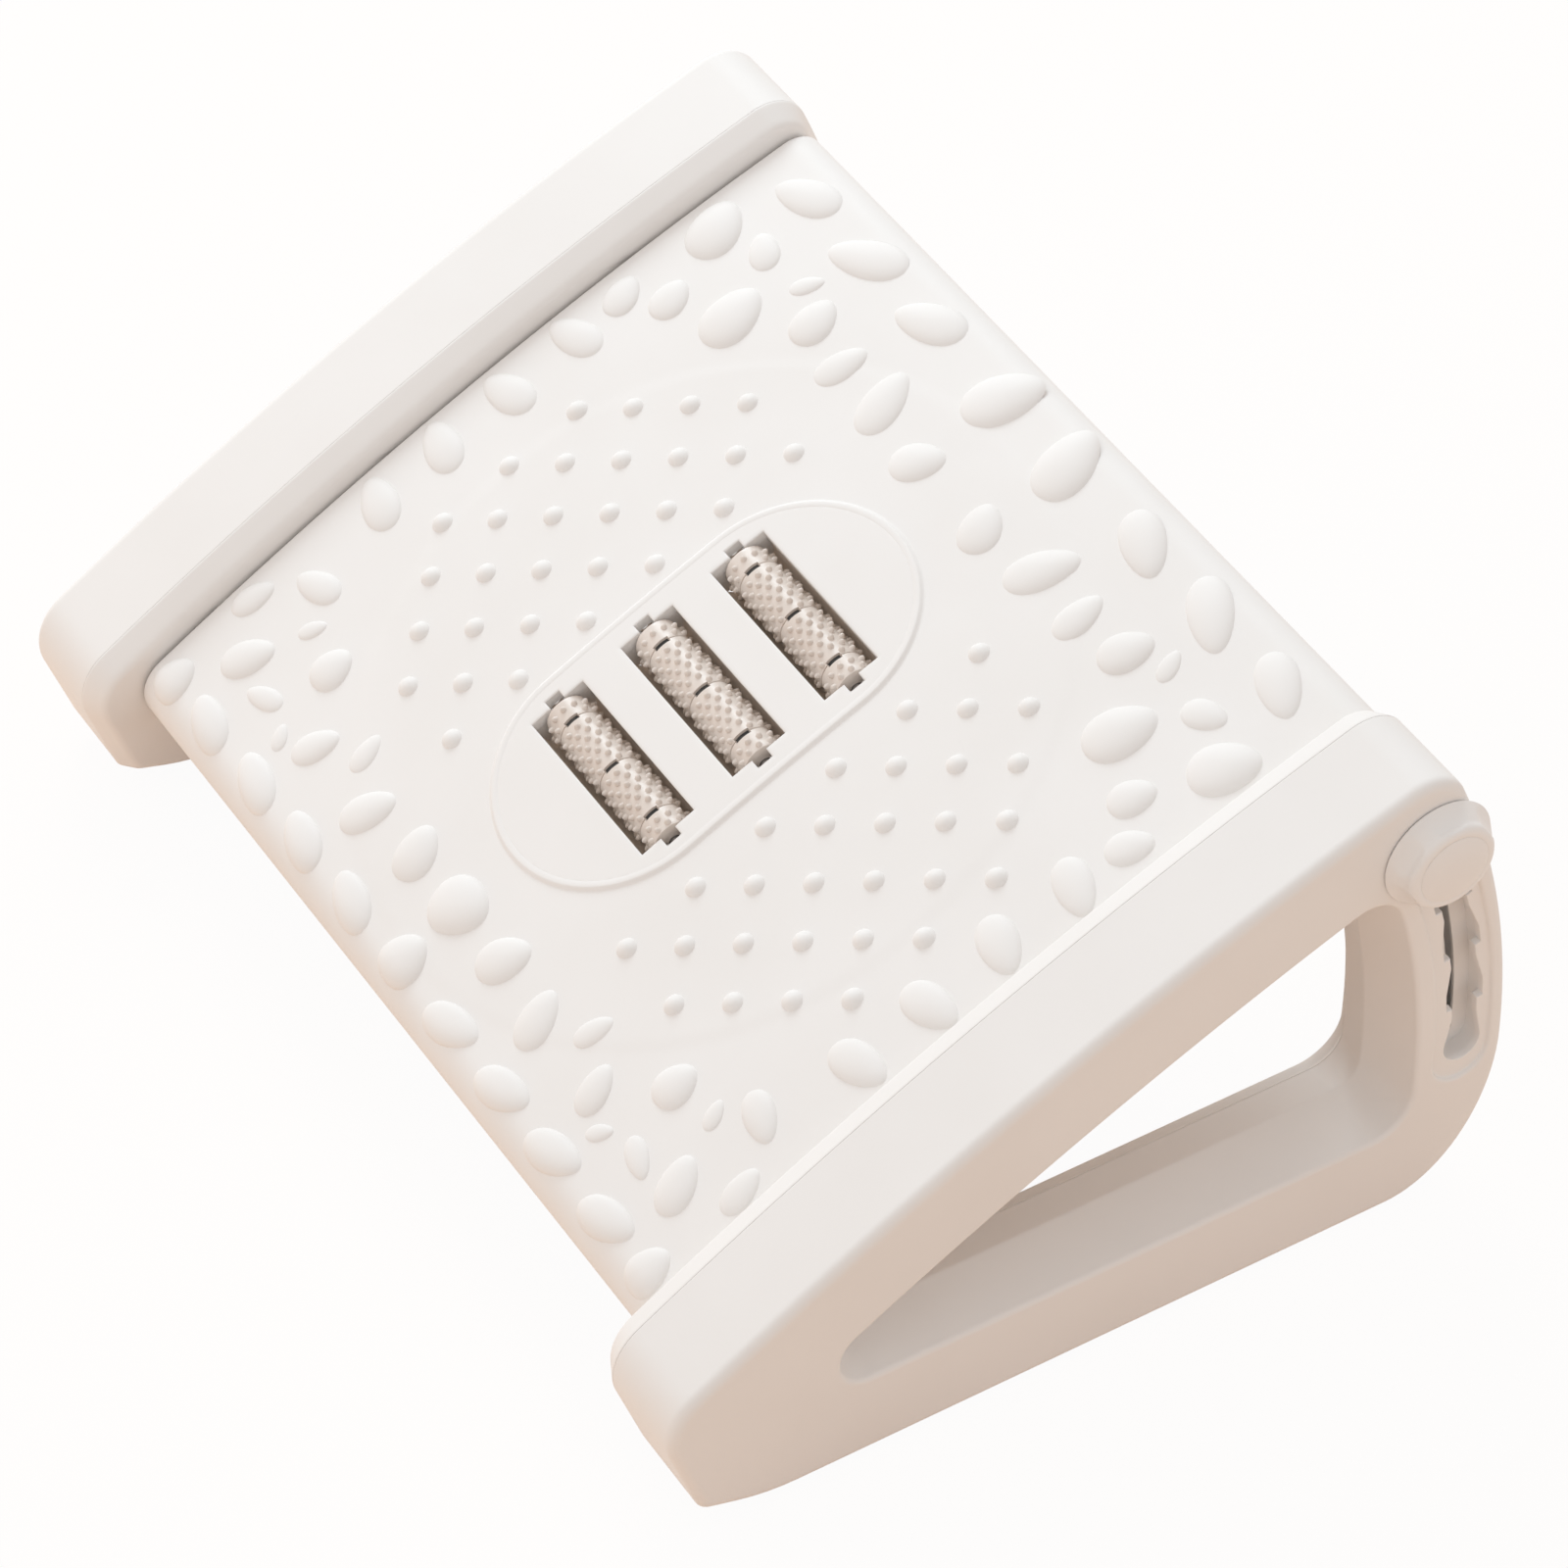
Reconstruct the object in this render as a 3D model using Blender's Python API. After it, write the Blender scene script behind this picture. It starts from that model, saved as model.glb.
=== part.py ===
# An adjustable footrest. Two hollow side frames stand on rubber pads. Between them an arched
# massage plate turns on a rod at the front and is locked by a pin on each side at the back.
# X is the width, Y runs from the user's side to the back and +Z is up.
# The origin is on the floor, in the middle of the frames.

import bpy
import bmesh
from math import acos, asin, atan2, cos, pi, radians, sin, sqrt
from mathutils import Vector
from mathutils.geometry import tessellate_polygon

# Main sizes, in metres
inner_width = 0.361
band_width = 0.047
frame_depth = 0.333
rest_angle = radians(26.1)
arch_radius = 1.374
plate_height = 0.1321
plate_setback = 0.0165
clearance = 0.0003
overrun = 0.001
arch_steps = 12

# Side frame outline
band_rise = 0.0112
band_depth = 0.037
sill_height = 0.0385
frame_nose_radius = 0.022
crown_radius = 0.017
leg_radius = 0.330
heel_length = 0.045
heel_height = 0.065
face_lean = radians(19)
toe_lift = 0.008
toe_length = 0.025
tip_radius = 0.012
heel_corner_radius = 0.016
head_corner_radius = 0.014

# Side frame walls
shell_wall = 0.003
face_wall = 0.0046
outer_edge_round = 0.004
inner_edge_round = 0.008
inner_rim_round = 0.006
rim_round = 0.0012
ridge_step = 0.006
seam_step = 0.0035
parting_share = 0.205
ridge_share = 0.5

# Rubber pads under the frames
pad_thickness = 0.0012
pad_width = 0.017
pad_length = 0.044
pad_corner = 0.005
pad_place_shares = {"front": 0.19, "rear": 0.80}

# Screws that close each frame
screw_head_radius = 0.0036
screw_head_height = 0.0026
screw_crown_share = 0.8
screw_radius = 0.0016
screw_bite = 0.016
counterbore_radius = 0.0042
counterbore_depth = 0.0045
screw_way_radius = 0.0021
post_radius = 0.005
sill_post_shares = (0.13, 0.87)
arch_post_shares = (-0.197, 0.55)

# Front rod and the plate's bushes on it
pivot_inset = 0.0335
pivot_drop = 0.0105
rod_radius = 0.004
rod_bite = 0.020
rod_boss_radius = 0.009
bush_wall = 0.0014
bush_length = 0.020
flange_radius = 0.0085
flange_thickness = 0.0007
plate_boss_length = 0.028

# Footplate
side_gap = 0.0013
front_margin = 0.0264
rear_margin = 0.0407
plate_wall = 0.0032
cheek_wall = 0.0034
plate_nose_radius = 0.015
plate_rear_radius = 0.012
plate_side_round = 0.0015
side_round_shares = ((0, 1), (0.4, 0.3), (1, 0))
nose_turn = radians(178)
nose_lip_turn = radians(128)
buried_share = 0.7
cheek_depth = 0.020
tail_depth = 0.033
tail_length = 0.030
tail_slope_length = 0.022
rib_thickness = 0.0022
rib_depth = 0.014
cross_rib_depth = 0.010
rib_place_shares = (-0.66, -0.32, 0.32, 0.66)
cross_rib_share = 0.62

# Rear lock
lock_inset = 0.0035
lock_drop = 0.0208
tilt_range = radians(24)
lock_positions = 5
neck_half_width = 0.005
seat_half_width = 0.0074
seat_below = 0.0071
seat_taper_share = 0.524
channel_half_width = 0.0125
channel_depth = 0.0016
pin_radius = 0.0042
collar_radius = 0.0067
collar_length = 0.0036
pin_hold = 0.030
lug_radius = 0.010
lug_length = 0.028

# Lock knob
knob_radius = 0.0212
knob_taper = 0.0038
knob_height = 0.0105
knob_shoulder = 0.003
knob_rim_wall = 0.0035
knob_web = 0.0035
knob_hub_radius = 0.009
flute_count = 6
flute_steps = 5
flute_depth = 0.0014
cap_radius = 0.0125
cap_rise = 0.0017
cap_depth = 0.003
cap_dome_shares = ((1, 0), (0.75, 0.6), (0.3, 1), (0, 1))

# Roller slots and the pad round them
slot_length = 0.0755
slot_width = 0.0236
slot_spacing = 0.041
slot_count = 3
slot_rib_depth = 0.012
trough_wall = 0.0022
notch_width = 0.0064
notch_length_left = 0.0038
notch_length_right = 0.0044
stadium_radius = 0.049
stadium_straight = 0.077
stadium_rise = 0.0009
stadium_skirt = 0.0006
stadium_end_turn = radians(8)

# Spiked rollers and what carries them
roller_drop = 0.0065
drum_radius = 0.0086
spike_height = 0.0014
roller_sides = 10
segment_shares = (0.131, 0.369, 0.369, 0.131)
segment_rings = (2, 7, 7, 2)
segment_gap = 0.0006
roller_end_gap = 0.00105
axle_radius = 0.0022
axle_reach = 0.0037
rail_width = 0.008
rail_depth = 0.013
rail_half_length = 0.076
rail_screw_inset = 0.008
rail_screw_head_radius = 0.003
rail_screw_head_height = 0.002
rail_screw_radius = 0.0013
rail_screw_bite = 0.0018

# Massage relief. A pebble is one row of across share, along share, length share, width share and turn in
# degrees, for the right half. The first two are shares of the plate's half width and of its rear or,
# where negative, its front reach.
pebble_length = 0.034
pebble_rise_share = 0.17
pebble_sunk = 0.0006
pebble_egg_share = 0.16
pebble_ring_shares = ((0.80, 0.62), (0.38, 1))
small_pebble_share = 0.55
small_pebble_ring_shares = ((0.58, 1),)
long_pebble_share = 0.8
middle_pebble_shares = (
    (0.0, -0.797, 0.76, 0.68, 20),
    (0.0, -0.988, 0.62, 0.60, 90),
)
pebble_shares = (
    (0.114, 0.950, 0.94, 0.64, 112),
    (0.380, 0.952, 0.90, 0.49, -23),
    (0.611, 0.950, 0.98, 0.49, -28),
    (0.838, 0.950, 0.85, 0.46, -22),
    (0.916, 0.736, 0.78, 0.62, 58),
    (0.790, 0.785, 0.52, 0.35, 25),
    (0.650, 0.803, 0.40, 0.22, 118),
    (0.561, 0.755, 0.62, 0.49, 70),
    (0.427, 0.730, 0.64, 0.39, 96),
    (0.285, 0.742, 0.85, 0.50, 66),
    (0.114, 0.707, 0.64, 0.49, 130),
    (0.703, 0.623, 0.82, 0.62, 75),
    (0.840, 0.545, 0.53, 0.43, 68),
    (0.926, 0.468, 0.53, 0.40, 60),
    (0.918, 0.323, 0.75, 0.42, -16),
    (0.912, 0.119, 0.75, 0.44, -14),
    (0.916, -0.088, 0.75, 0.44, 12),
    (0.910, -0.304, 0.75, 0.44, 14),
    (0.852, -0.56, 0.64, 0.36, -18),
    (0.778, -0.642, 0.35, 0.20, 118),
    (0.667, -0.669, 0.53, 0.47, 90),
    (0.948, -0.708, 0.55, 0.34, 104),
    (0.444, -0.736, 0.49, 0.28, 75),
    (0.332, -0.824, 0.70, 0.45, 114),
    (0.170, -0.796, 0.67, 0.52, 62),
    (0.547, -0.824, 0.59, 0.37, 114),
    (0.628, -0.879, 0.32, 0.19, 50),
    (0.731, -0.846, 0.52, 0.26, -20),
    (0.840, -0.815, 0.67, 0.44, 120),
    (0.196, -0.999, 0.80, 0.44, 18),
    (0.394, -0.999, 0.78, 0.44, 18),
    (0.586, -0.999, 0.80, 0.44, 18),
    (0.784, -0.999, 0.78, 0.44, 18),
    (0.935, -0.999, 0.58, 0.48, 90),
)
dot_pitch = 0.0314
dot_radius = 0.0031
dot_top_radius = 0.0017
dot_rise = 0.0012
dot_columns = (2, 2.5, 3, 3.5, 4, 4.5)
dot_half_rows = 5
dot_field_reach = 5.5

# Places worked out from the sizes
inner_x = inner_width / 2
face_x = inner_x + band_width
parting_x = inner_x + band_width * parting_share
ridge_x = inner_x + band_width * ridge_share
base_z = pad_thickness + clearance
front_y = -frame_depth / 2
rear_y = frame_depth / 2
plate_half = inner_x - side_gap
arch_centre = (-plate_setback + arch_radius * sin(rest_angle), plate_height - arch_radius * cos(rest_angle))
top_radius = arch_radius + band_rise
leg_centre = (rear_y - leg_radius, heel_height)


def slope_place(y):
    # How far up the plate's slope from its middle a place on it is, given its Y
    return arch_radius * (rest_angle - asin((arch_centre[0] - y) / arch_radius))


front_reach = -slope_place(front_y + front_margin)
rear_reach = slope_place(rear_y - rear_margin)
pivot_reach = front_reach - pivot_inset
lock_reach = rear_reach - lock_inset


def along(centre, radius, angle):
    # The point at an angle on a circle in the side view
    return (centre[0] + radius * cos(angle), centre[1] + radius * sin(angle))


def bearing(start, end):
    return atan2(end[1] - start[1], end[0] - start[0])


def arc(centre, radius, start, end, count):
    # Points on a circle in the side view, both ends included
    return [along(centre, radius, start + (end - start) * i / count) for i in range(count + 1)]


def meet(centre_a, radius_a, centre_b, radius_b):
    # The upper of the two points where circles cross
    gap = sqrt((centre_b[0] - centre_a[0]) ** 2 + (centre_b[1] - centre_a[1]) ** 2)
    turn = acos((radius_a ** 2 + gap ** 2 - radius_b ** 2) / (2 * radius_a * gap))
    heading = bearing(centre_a, centre_b)
    first = along(centre_a, radius_a, heading + turn)
    second = along(centre_a, radius_a, heading - turn)
    return first if first[1] > second[1] else second


def cross(point_a, heading_a, point_b, heading_b):
    # The point where two straight lines cross
    ca, sa = cos(heading_a), sin(heading_a)
    cb, sb = cos(heading_b), sin(heading_b)
    dy = point_b[0] - point_a[0]
    dz = point_b[1] - point_a[1]
    run = (dy * sb - dz * cb) / (ca * sb - sa * cb)
    return (point_a[0] + run * ca, point_a[1] + run * sa)


def skin(s, n=0.0):
    # A point on the plate's surface, s along its slope from the middle and n above it.
    # Past its reach the surface rolls down round the nose and round the rear edge.
    if s < -front_reach:
        lean = rest_angle + front_reach / arch_radius
        hub = skin(-front_reach, -plate_nose_radius)
        turn = lean + (-front_reach - s) / plate_nose_radius
        return along(hub, plate_nose_radius + n, turn + pi / 2)
    if s > rear_reach:
        lean = rest_angle - rear_reach / arch_radius
        hub = skin(rear_reach, -plate_rear_radius)
        turn = lean - (s - rear_reach) / plate_rear_radius
        return along(hub, plate_rear_radius + n, turn + pi / 2)
    return along(arch_centre, arch_radius + n, rest_angle - s / arch_radius + pi / 2)


pivot = skin(-pivot_reach, -pivot_drop)
lock = skin(lock_reach, -lock_drop)
lock_radius = sqrt((lock[0] - pivot[0]) ** 2 + (lock[1] - pivot[1]) ** 2)
lock_angle = bearing(pivot, lock)
lock_step = tilt_range / (lock_positions - 1)
seat_taper = lock_radius * lock_step * seat_taper_share
lock_travel = face_wall - channel_depth
cap_seat_x = face_x + knob_height - cap_depth
pin_end_x = cap_seat_x - lock_travel - overrun


# Small mesh tools

def material(name, colour, roughness, metallic=0.0):
    made = bpy.data.materials.new(name)
    made.use_nodes = True
    shader = made.node_tree.nodes["Principled BSDF"]
    shader.inputs["Base Color"].default_value = (*colour, 1.0)
    shader.inputs["Roughness"].default_value = roughness
    shader.inputs["Metallic"].default_value = metallic
    made.diffuse_color = (*colour, 1.0)
    return made


def plastic_white(name):
    return material(name + "_white_plastic", (0.86, 0.84, 0.82), 0.45)


def plastic_cream(name):
    return material(name + "_cream_plastic", (0.76, 0.70, 0.65), 0.5)


def steel(name):
    return material(name + "_steel", (0.55, 0.55, 0.56), 0.3, 1.0)


def rubber(name):
    return material(name + "_rubber", (0.10, 0.10, 0.10), 0.8)


def nylon(name):
    return material(name + "_nylon", (0.80, 0.79, 0.74), 0.4)


def loop_at(bm, x, points):
    return [bm.verts.new((x, y, z)) for y, z in points]


def join_loops(bm, loop_a, loop_b):
    count = len(loop_a)
    for i in range(count):
        j = (i + 1) % count
        bm.faces.new((loop_a[i], loop_a[j], loop_b[j], loop_b[i]))


def fill_between(bm, outer, inner):
    # The flat face between an outline and the hole in it
    rings = [[Vector((v.co.y, v.co.z, 0)) for v in outer], [Vector((v.co.y, v.co.z, 0)) for v in inner]]
    verts = outer + inner
    for a, b, c in tessellate_polygon(rings):
        bm.faces.new((verts[a], verts[b], verts[c]))


def make_object(name, bm, look=None, smooth=30):
    bmesh.ops.recalc_face_normals(bm, faces=bm.faces)
    mesh = bpy.data.meshes.new(name)
    bm.to_mesh(mesh)
    bm.free()
    if look:
        mesh.materials.append(look)
    mesh.shade_smooth()
    mesh.set_sharp_from_angle(angle=radians(smooth))
    made = bpy.data.objects.new(name, mesh)
    bpy.context.scene.collection.objects.link(made)
    return made


def make_cutter(name, bm):
    made = make_object(name, bm)
    made.hide_render = True
    made.display_type = "WIRE"
    return made


def combine(target, tools, operation):
    # Joins or cuts with all the tools in one step
    group = bpy.data.collections.new(tools[0].name)
    for tool in tools:
        group.objects.link(tool)
    step = target.modifiers.new(group.name, "BOOLEAN")
    step.operation = operation
    step.solver = "EXACT"
    step.use_self = True
    step.operand_type = "COLLECTION"
    step.collection = group


def add_prism(bm, points, x_start, x_end):
    # A solid with the same outline all along X
    first = loop_at(bm, x_start, points)
    last = loop_at(bm, x_end, points)
    join_loops(bm, first, last)
    bm.faces.new(first)
    bm.faces.new(last)


def add_turned(bm, centre, profile, sides, wave=None):
    # A closed solid turned round an axis along X. The profile is a list of x and radius, and
    # a radius of zero closes an end. A closed profile leaves a hole through the solid.
    rings = []
    for x, radius in profile:
        if radius == 0:
            rings.append([bm.verts.new((x, centre[0], centre[1]))])
            continue
        ring = []
        for i in range(sides):
            angle = 2 * pi * i / sides
            reach = radius - (wave(x, radius, angle) if wave else 0)
            y, z = along(centre, reach, angle)
            ring.append(bm.verts.new((x, y, z)))
        rings.append(ring)
    pairs = list(zip(rings, rings[1:]))
    if len(rings[0]) > 1:
        pairs.append((rings[-1], rings[0]))
    for ring_a, ring_b in pairs:
        for i in range(sides):
            j = (i + 1) % sides
            if len(ring_a) == 1:
                bm.faces.new((ring_a[0], ring_b[j], ring_b[i]))
            elif len(ring_b) == 1:
                bm.faces.new((ring_a[i], ring_a[j], ring_b[0]))
            else:
                bm.faces.new((ring_a[i], ring_a[j], ring_b[j], ring_b[i]))


def add_cylinder(bm, centre, radius, x_start, x_end, sides):
    add_turned(bm, centre, ((x_start, 0), (x_start, radius), (x_end, radius), (x_end, 0)), sides)


def add_tube(bm, centre, outer, inner, x_start, x_end, sides):
    profile = ((x_start, inner), (x_start, outer), (x_end, outer), (x_end, inner))
    add_turned(bm, centre, profile, sides)


# Side frame outlines, both counter-clockwise from the right

def frame_outline(inset):
    nose_y = front_y + frame_nose_radius
    nose_z = arch_centre[1] + sqrt((top_radius - frame_nose_radius) ** 2 - (nose_y - arch_centre[0]) ** 2)
    nose = (nose_y, nose_z)
    crown = meet(arch_centre, top_radius - crown_radius, leg_centre, leg_radius - crown_radius)
    crown_low = bearing(leg_centre, crown)
    crown_high = bearing(arch_centre, crown)
    nose_high = bearing(arch_centre, nose)
    nose_low = pi + face_lean
    heel = (rear_y - heel_length, heel_height)
    face_heading = nose_low + pi / 2
    toe = cross(along(nose, frame_nose_radius, nose_low), face_heading, (0, base_z + toe_lift), 0)
    bevel_end = (toe[0] + toe_length, base_z)
    bevel_heading = bearing(toe, bevel_end)
    bevel_start = along(toe, inset, bevel_heading + pi / 2)
    face_start = along(nose, frame_nose_radius - inset, nose_low)
    points = [cross(bevel_start, bevel_heading, (0, base_z + inset), 0)]
    for i in range(5):
        angle = -pi / 2 + pi / 2 * i / 5
        y = heel[0] + (heel_length - inset) * cos(angle)
        z = heel[1] + (heel_height - base_z - inset) * sin(angle)
        points.append((y, z))
    points += arc(leg_centre, leg_radius - inset, 0, crown_low, 4)
    points += arc(crown, crown_radius - inset, crown_low, crown_high, 4)[1:]
    points += arc(arch_centre, top_radius - inset, crown_high, nose_high, 7)[1:]
    points += arc(nose, frame_nose_radius - inset, nose_high, pi, 4)[1:]
    points.append(cross(face_start, face_heading, bevel_start, bevel_heading))
    return points


def opening_outline(inset):
    roof = top_radius - band_depth
    back = leg_radius - band_depth
    tip_z = sill_height + tip_radius
    tip_y = arch_centre[0] - sqrt((roof - tip_radius) ** 2 - (tip_z - arch_centre[1]) ** 2)
    tip = (tip_y, tip_z)
    corner_z = sill_height + heel_corner_radius
    reach = back - heel_corner_radius
    corner = (leg_centre[0] + sqrt(reach ** 2 - (corner_z - leg_centre[1]) ** 2), corner_z)
    head = meet(arch_centre, roof - head_corner_radius, leg_centre, back - head_corner_radius)
    corner_end = bearing(leg_centre, corner)
    head_start = bearing(leg_centre, head)
    head_end = bearing(arch_centre, head)
    tip_start = bearing(arch_centre, tip)
    points = arc(tip, tip_radius - inset, tip_start, 3 * pi / 2, 4)
    points += arc(corner, heel_corner_radius - inset, -pi / 2, corner_end, 4)
    points += arc(leg_centre, back - inset, corner_end, head_start, 3)[1:]
    points += arc(head, head_corner_radius - inset, head_start, head_end, 3)[1:]
    points += arc(arch_centre, roof - inset, head_end, tip_start, 5)[1:-1]
    return points


def plate_place(share):
    # A place along the plate's slope, as a share of its rear or its front reach
    return share * (rear_reach if share > 0 else front_reach)


def frame_posts():
    # Places of the screws that close a frame
    posts = []
    for share in sill_post_shares:
        posts.append((front_y + frame_depth * share, (base_z + sill_height) / 2))
    for share in arch_post_shares:
        posts.append(skin(plate_place(share), band_rise - band_depth / 2))
    return posts


def add_shell(bm, side, outer_rings, cavity_rings, opening_rings, lining_rings):
    # Each ring is a place along X and an inset. The four skins meet at the parting plane,
    # at the face and at the cavity's floor.
    skins = []
    for rings, outline in (
        (outer_rings, frame_outline),
        (cavity_rings, frame_outline),
        (opening_rings, opening_outline),
        (lining_rings, opening_outline),
    ):
        loops = [loop_at(bm, side * x, outline(inset)) for x, inset in rings]
        for loop_a, loop_b in zip(loops, loops[1:]):
            join_loops(bm, loop_a, loop_b)
        skins.append(loops)
    outer, cavity, opening, lining = skins
    join_loops(bm, outer[0], cavity[0])
    join_loops(bm, opening[0], lining[0])
    fill_between(bm, outer[-1], opening[-1])
    fill_between(bm, cavity[-1], lining[-1])


def lock_point(angle_down, offset):
    # A place beside the lock pin's path, in the side view
    return along(pivot, lock_radius + offset, lock_angle - angle_down)


def slot_outline(half_width, start, end, count=10):
    # A plain slot along the pin's path with round ends
    points = []
    for i in range(count + 1):
        points.append(lock_point(start + (end - start) * i / count, half_width))
    low = lock_point(end, 0)
    heading = lock_angle - end
    points += arc(low, half_width, heading, heading - pi, 6)[1:-1]
    for i in range(count + 1):
        points.append(lock_point(end + (start - end) * i / count, -half_width))
    high = lock_point(start, 0)
    heading = lock_angle - start
    points += arc(high, half_width, heading + pi, heading, 6)[1:-1]
    return points


def toothed_side(side):
    # One edge of the toothed slot from top to bottom, as angle and offset. Each seat widens
    # downwards and ends in a ledge.
    stations = []
    for k in range(lock_positions):
        centre = k * lock_step
        if k > 0:
            stations.append((centre - seat_taper / lock_radius, neck_half_width))
        stations.append((centre - overrun / lock_radius, seat_half_width))
        stations.append((centre + seat_below / lock_radius, seat_half_width))
        if k < lock_positions - 1:
            stations.append((centre + (seat_below + clearance) / lock_radius, neck_half_width))
    return [lock_point(angle, side * offset) for angle, offset in stations]


def toothed_outline():
    top = lock_point(0, 0)
    upper = arc(top, seat_half_width, lock_angle + pi, lock_angle, 6)[1:-1]
    return toothed_side(1) + toothed_side(-1)[::-1] + upper


def frame_opening(name, side, x_start, x_end, points):
    bm = bmesh.new()
    add_prism(bm, points, side * x_start, side * x_end)
    return make_cutter(name, bm)


def add_blind_post(bm, centre, side, x_start, x_end, radius, hole_radius, hole_depth, sides):
    # A post with a hole that stops inside it
    profile = (
        (side * (parting_x + hole_depth), 0),
        (side * (parting_x + hole_depth), hole_radius),
        (side * x_start, hole_radius),
        (side * x_start, radius),
        (side * x_end, radius),
        (side * x_end, 0),
    )
    add_turned(bm, centre, profile, sides)


def outer_shell(name, side):
    seam = parting_x + clearance / 2
    floor = face_x - face_wall
    rounding = [(seam, 0)]
    for i in range(4):
        angle = pi / 2 * i / 3
        rounding.append((face_x - outer_edge_round * (1 - sin(angle)), outer_edge_round * (1 - cos(angle))))
    bm = bmesh.new()
    add_shell(
        bm,
        side,
        rounding,
        [(seam, shell_wall), (floor, shell_wall)],
        [(seam, seam_step), (ridge_x, ridge_step), (face_x - rim_round, 0), (face_x, -rim_round)],
        [(seam, seam_step - shell_wall), (ridge_x, ridge_step - shell_wall), (floor, -shell_wall)],
    )
    shell = make_object(name, bm, plastic_white(name))

    sunk_end = floor + face_wall / 2
    screw_way = screw_bite + overrun
    bm = bmesh.new()
    for post in frame_posts():
        add_blind_post(bm, post, side, seam, sunk_end, post_radius, screw_way_radius, screw_way, 8)
    rod_way = rod_radius + clearance
    add_blind_post(bm, pivot, side, seam, sunk_end, rod_boss_radius, rod_way, rod_bite + clearance, 14)
    combine(shell, [make_cutter(name + "_posts", bm)], "UNION")

    channel = slot_outline(channel_half_width, 0, tilt_range + seat_below / 2 / lock_radius)
    cuts = [
        frame_opening(name + "_channel", side, face_x - channel_depth, face_x + overrun, channel),
        frame_opening(name + "_teeth", side, floor - overrun, face_x + overrun, toothed_outline()),
    ]
    combine(shell, cuts, "DIFFERENCE")
    return shell


def inner_shell(name, side):
    seam = parting_x - clearance / 2
    floor = inner_x + shell_wall
    rounding = [(seam, 0)]
    rim = [(seam, seam_step)]
    for i in range(4):
        angle = pi / 2 * i / 3
        inset = inner_edge_round * (1 - cos(angle))
        rounding.append((inner_x + inner_edge_round * (1 - sin(angle)), inset))
        inset = -inner_rim_round * (1 - cos(angle))
        rim.append((inner_x + inner_rim_round * (1 - sin(angle)), inset))
    bm = bmesh.new()
    add_shell(
        bm,
        side,
        rounding,
        [(seam, shell_wall), (floor, shell_wall + inner_edge_round / 2)],
        rim,
        [(seam, seam_step - shell_wall), (floor, -shell_wall - inner_rim_round / 2)],
    )
    shell = make_object(name, bm, plastic_white(name))

    bm = bmesh.new()
    sunk = side * (floor - shell_wall / 2)
    for post in frame_posts():
        add_cylinder(bm, post, post_radius + shell_wall / 2, sunk, side * seam, 8)
    add_cylinder(bm, pivot, rod_boss_radius, sunk, side * seam, 14)
    combine(shell, [make_cutter(name + "_posts", bm)], "UNION")

    bm = bmesh.new()
    for post in frame_posts():
        profile = (
            (side * (inner_x - overrun), 0),
            (side * (inner_x - overrun), counterbore_radius),
            (side * (inner_x + counterbore_depth), counterbore_radius),
            (side * (inner_x + counterbore_depth), screw_way_radius),
            (side * (parting_x + overrun), screw_way_radius),
            (side * (parting_x + overrun), 0),
        )
        add_turned(bm, post, profile, 8)
    before = inner_x - overrun
    past = parting_x + overrun
    add_cylinder(bm, pivot, rod_radius + clearance, side * before, side * past, 14)
    way = slot_outline(neck_half_width, 0, tilt_range)
    add_prism(bm, way, side * before, side * (floor + overrun))
    combine(shell, [make_cutter(name + "_bores", bm)], "DIFFERENCE")
    return shell


def shell_screw(name, side, place):
    seat = inner_x + counterbore_depth - clearance
    bm = bmesh.new()
    profile = (
        (side * (seat - screw_head_height), 0),
        (side * (seat - screw_head_height), screw_head_radius * screw_crown_share),
        (side * (seat - screw_head_height / 2), screw_head_radius),
        (side * seat, screw_head_radius),
        (side * seat, screw_radius),
        (side * (parting_x + screw_bite), screw_radius),
        (side * (parting_x + screw_bite), 0),
    )
    add_turned(bm, place, profile, 10)
    return make_object(name, bm, steel(name))


def foot_pad(name, side, share):
    middle_y = front_y + frame_depth * share
    bm = bmesh.new()
    verts = []
    for i in range(4):
        heading = pi / 4 + pi / 2 * i
        cx = side * ridge_x + (pad_width / 2 - pad_corner) * (1 if cos(heading) > 0 else -1)
        cy = middle_y + (pad_length / 2 - pad_corner) * (1 if sin(heading) > 0 else -1)
        for k in range(4):
            angle = pi / 2 * i + pi / 2 * k / 3
            verts.append(bm.verts.new((cx + pad_corner * cos(angle), cy + pad_corner * sin(angle), 0)))
    bottom = bm.faces.new(verts)
    raised = bmesh.ops.extrude_face_region(bm, geom=[bottom])
    top = [item for item in raised["geom"] if isinstance(item, bmesh.types.BMVert)]
    bmesh.ops.translate(bm, verts=top, vec=(0, 0, pad_thickness))
    return make_object(name, bm, rubber(name))


def front_rod(name):
    reach = parting_x + rod_bite
    bm = bmesh.new()
    add_cylinder(bm, pivot, rod_radius, -reach, reach, 16)
    return make_object(name, bm, steel(name))


# Footplate

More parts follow.
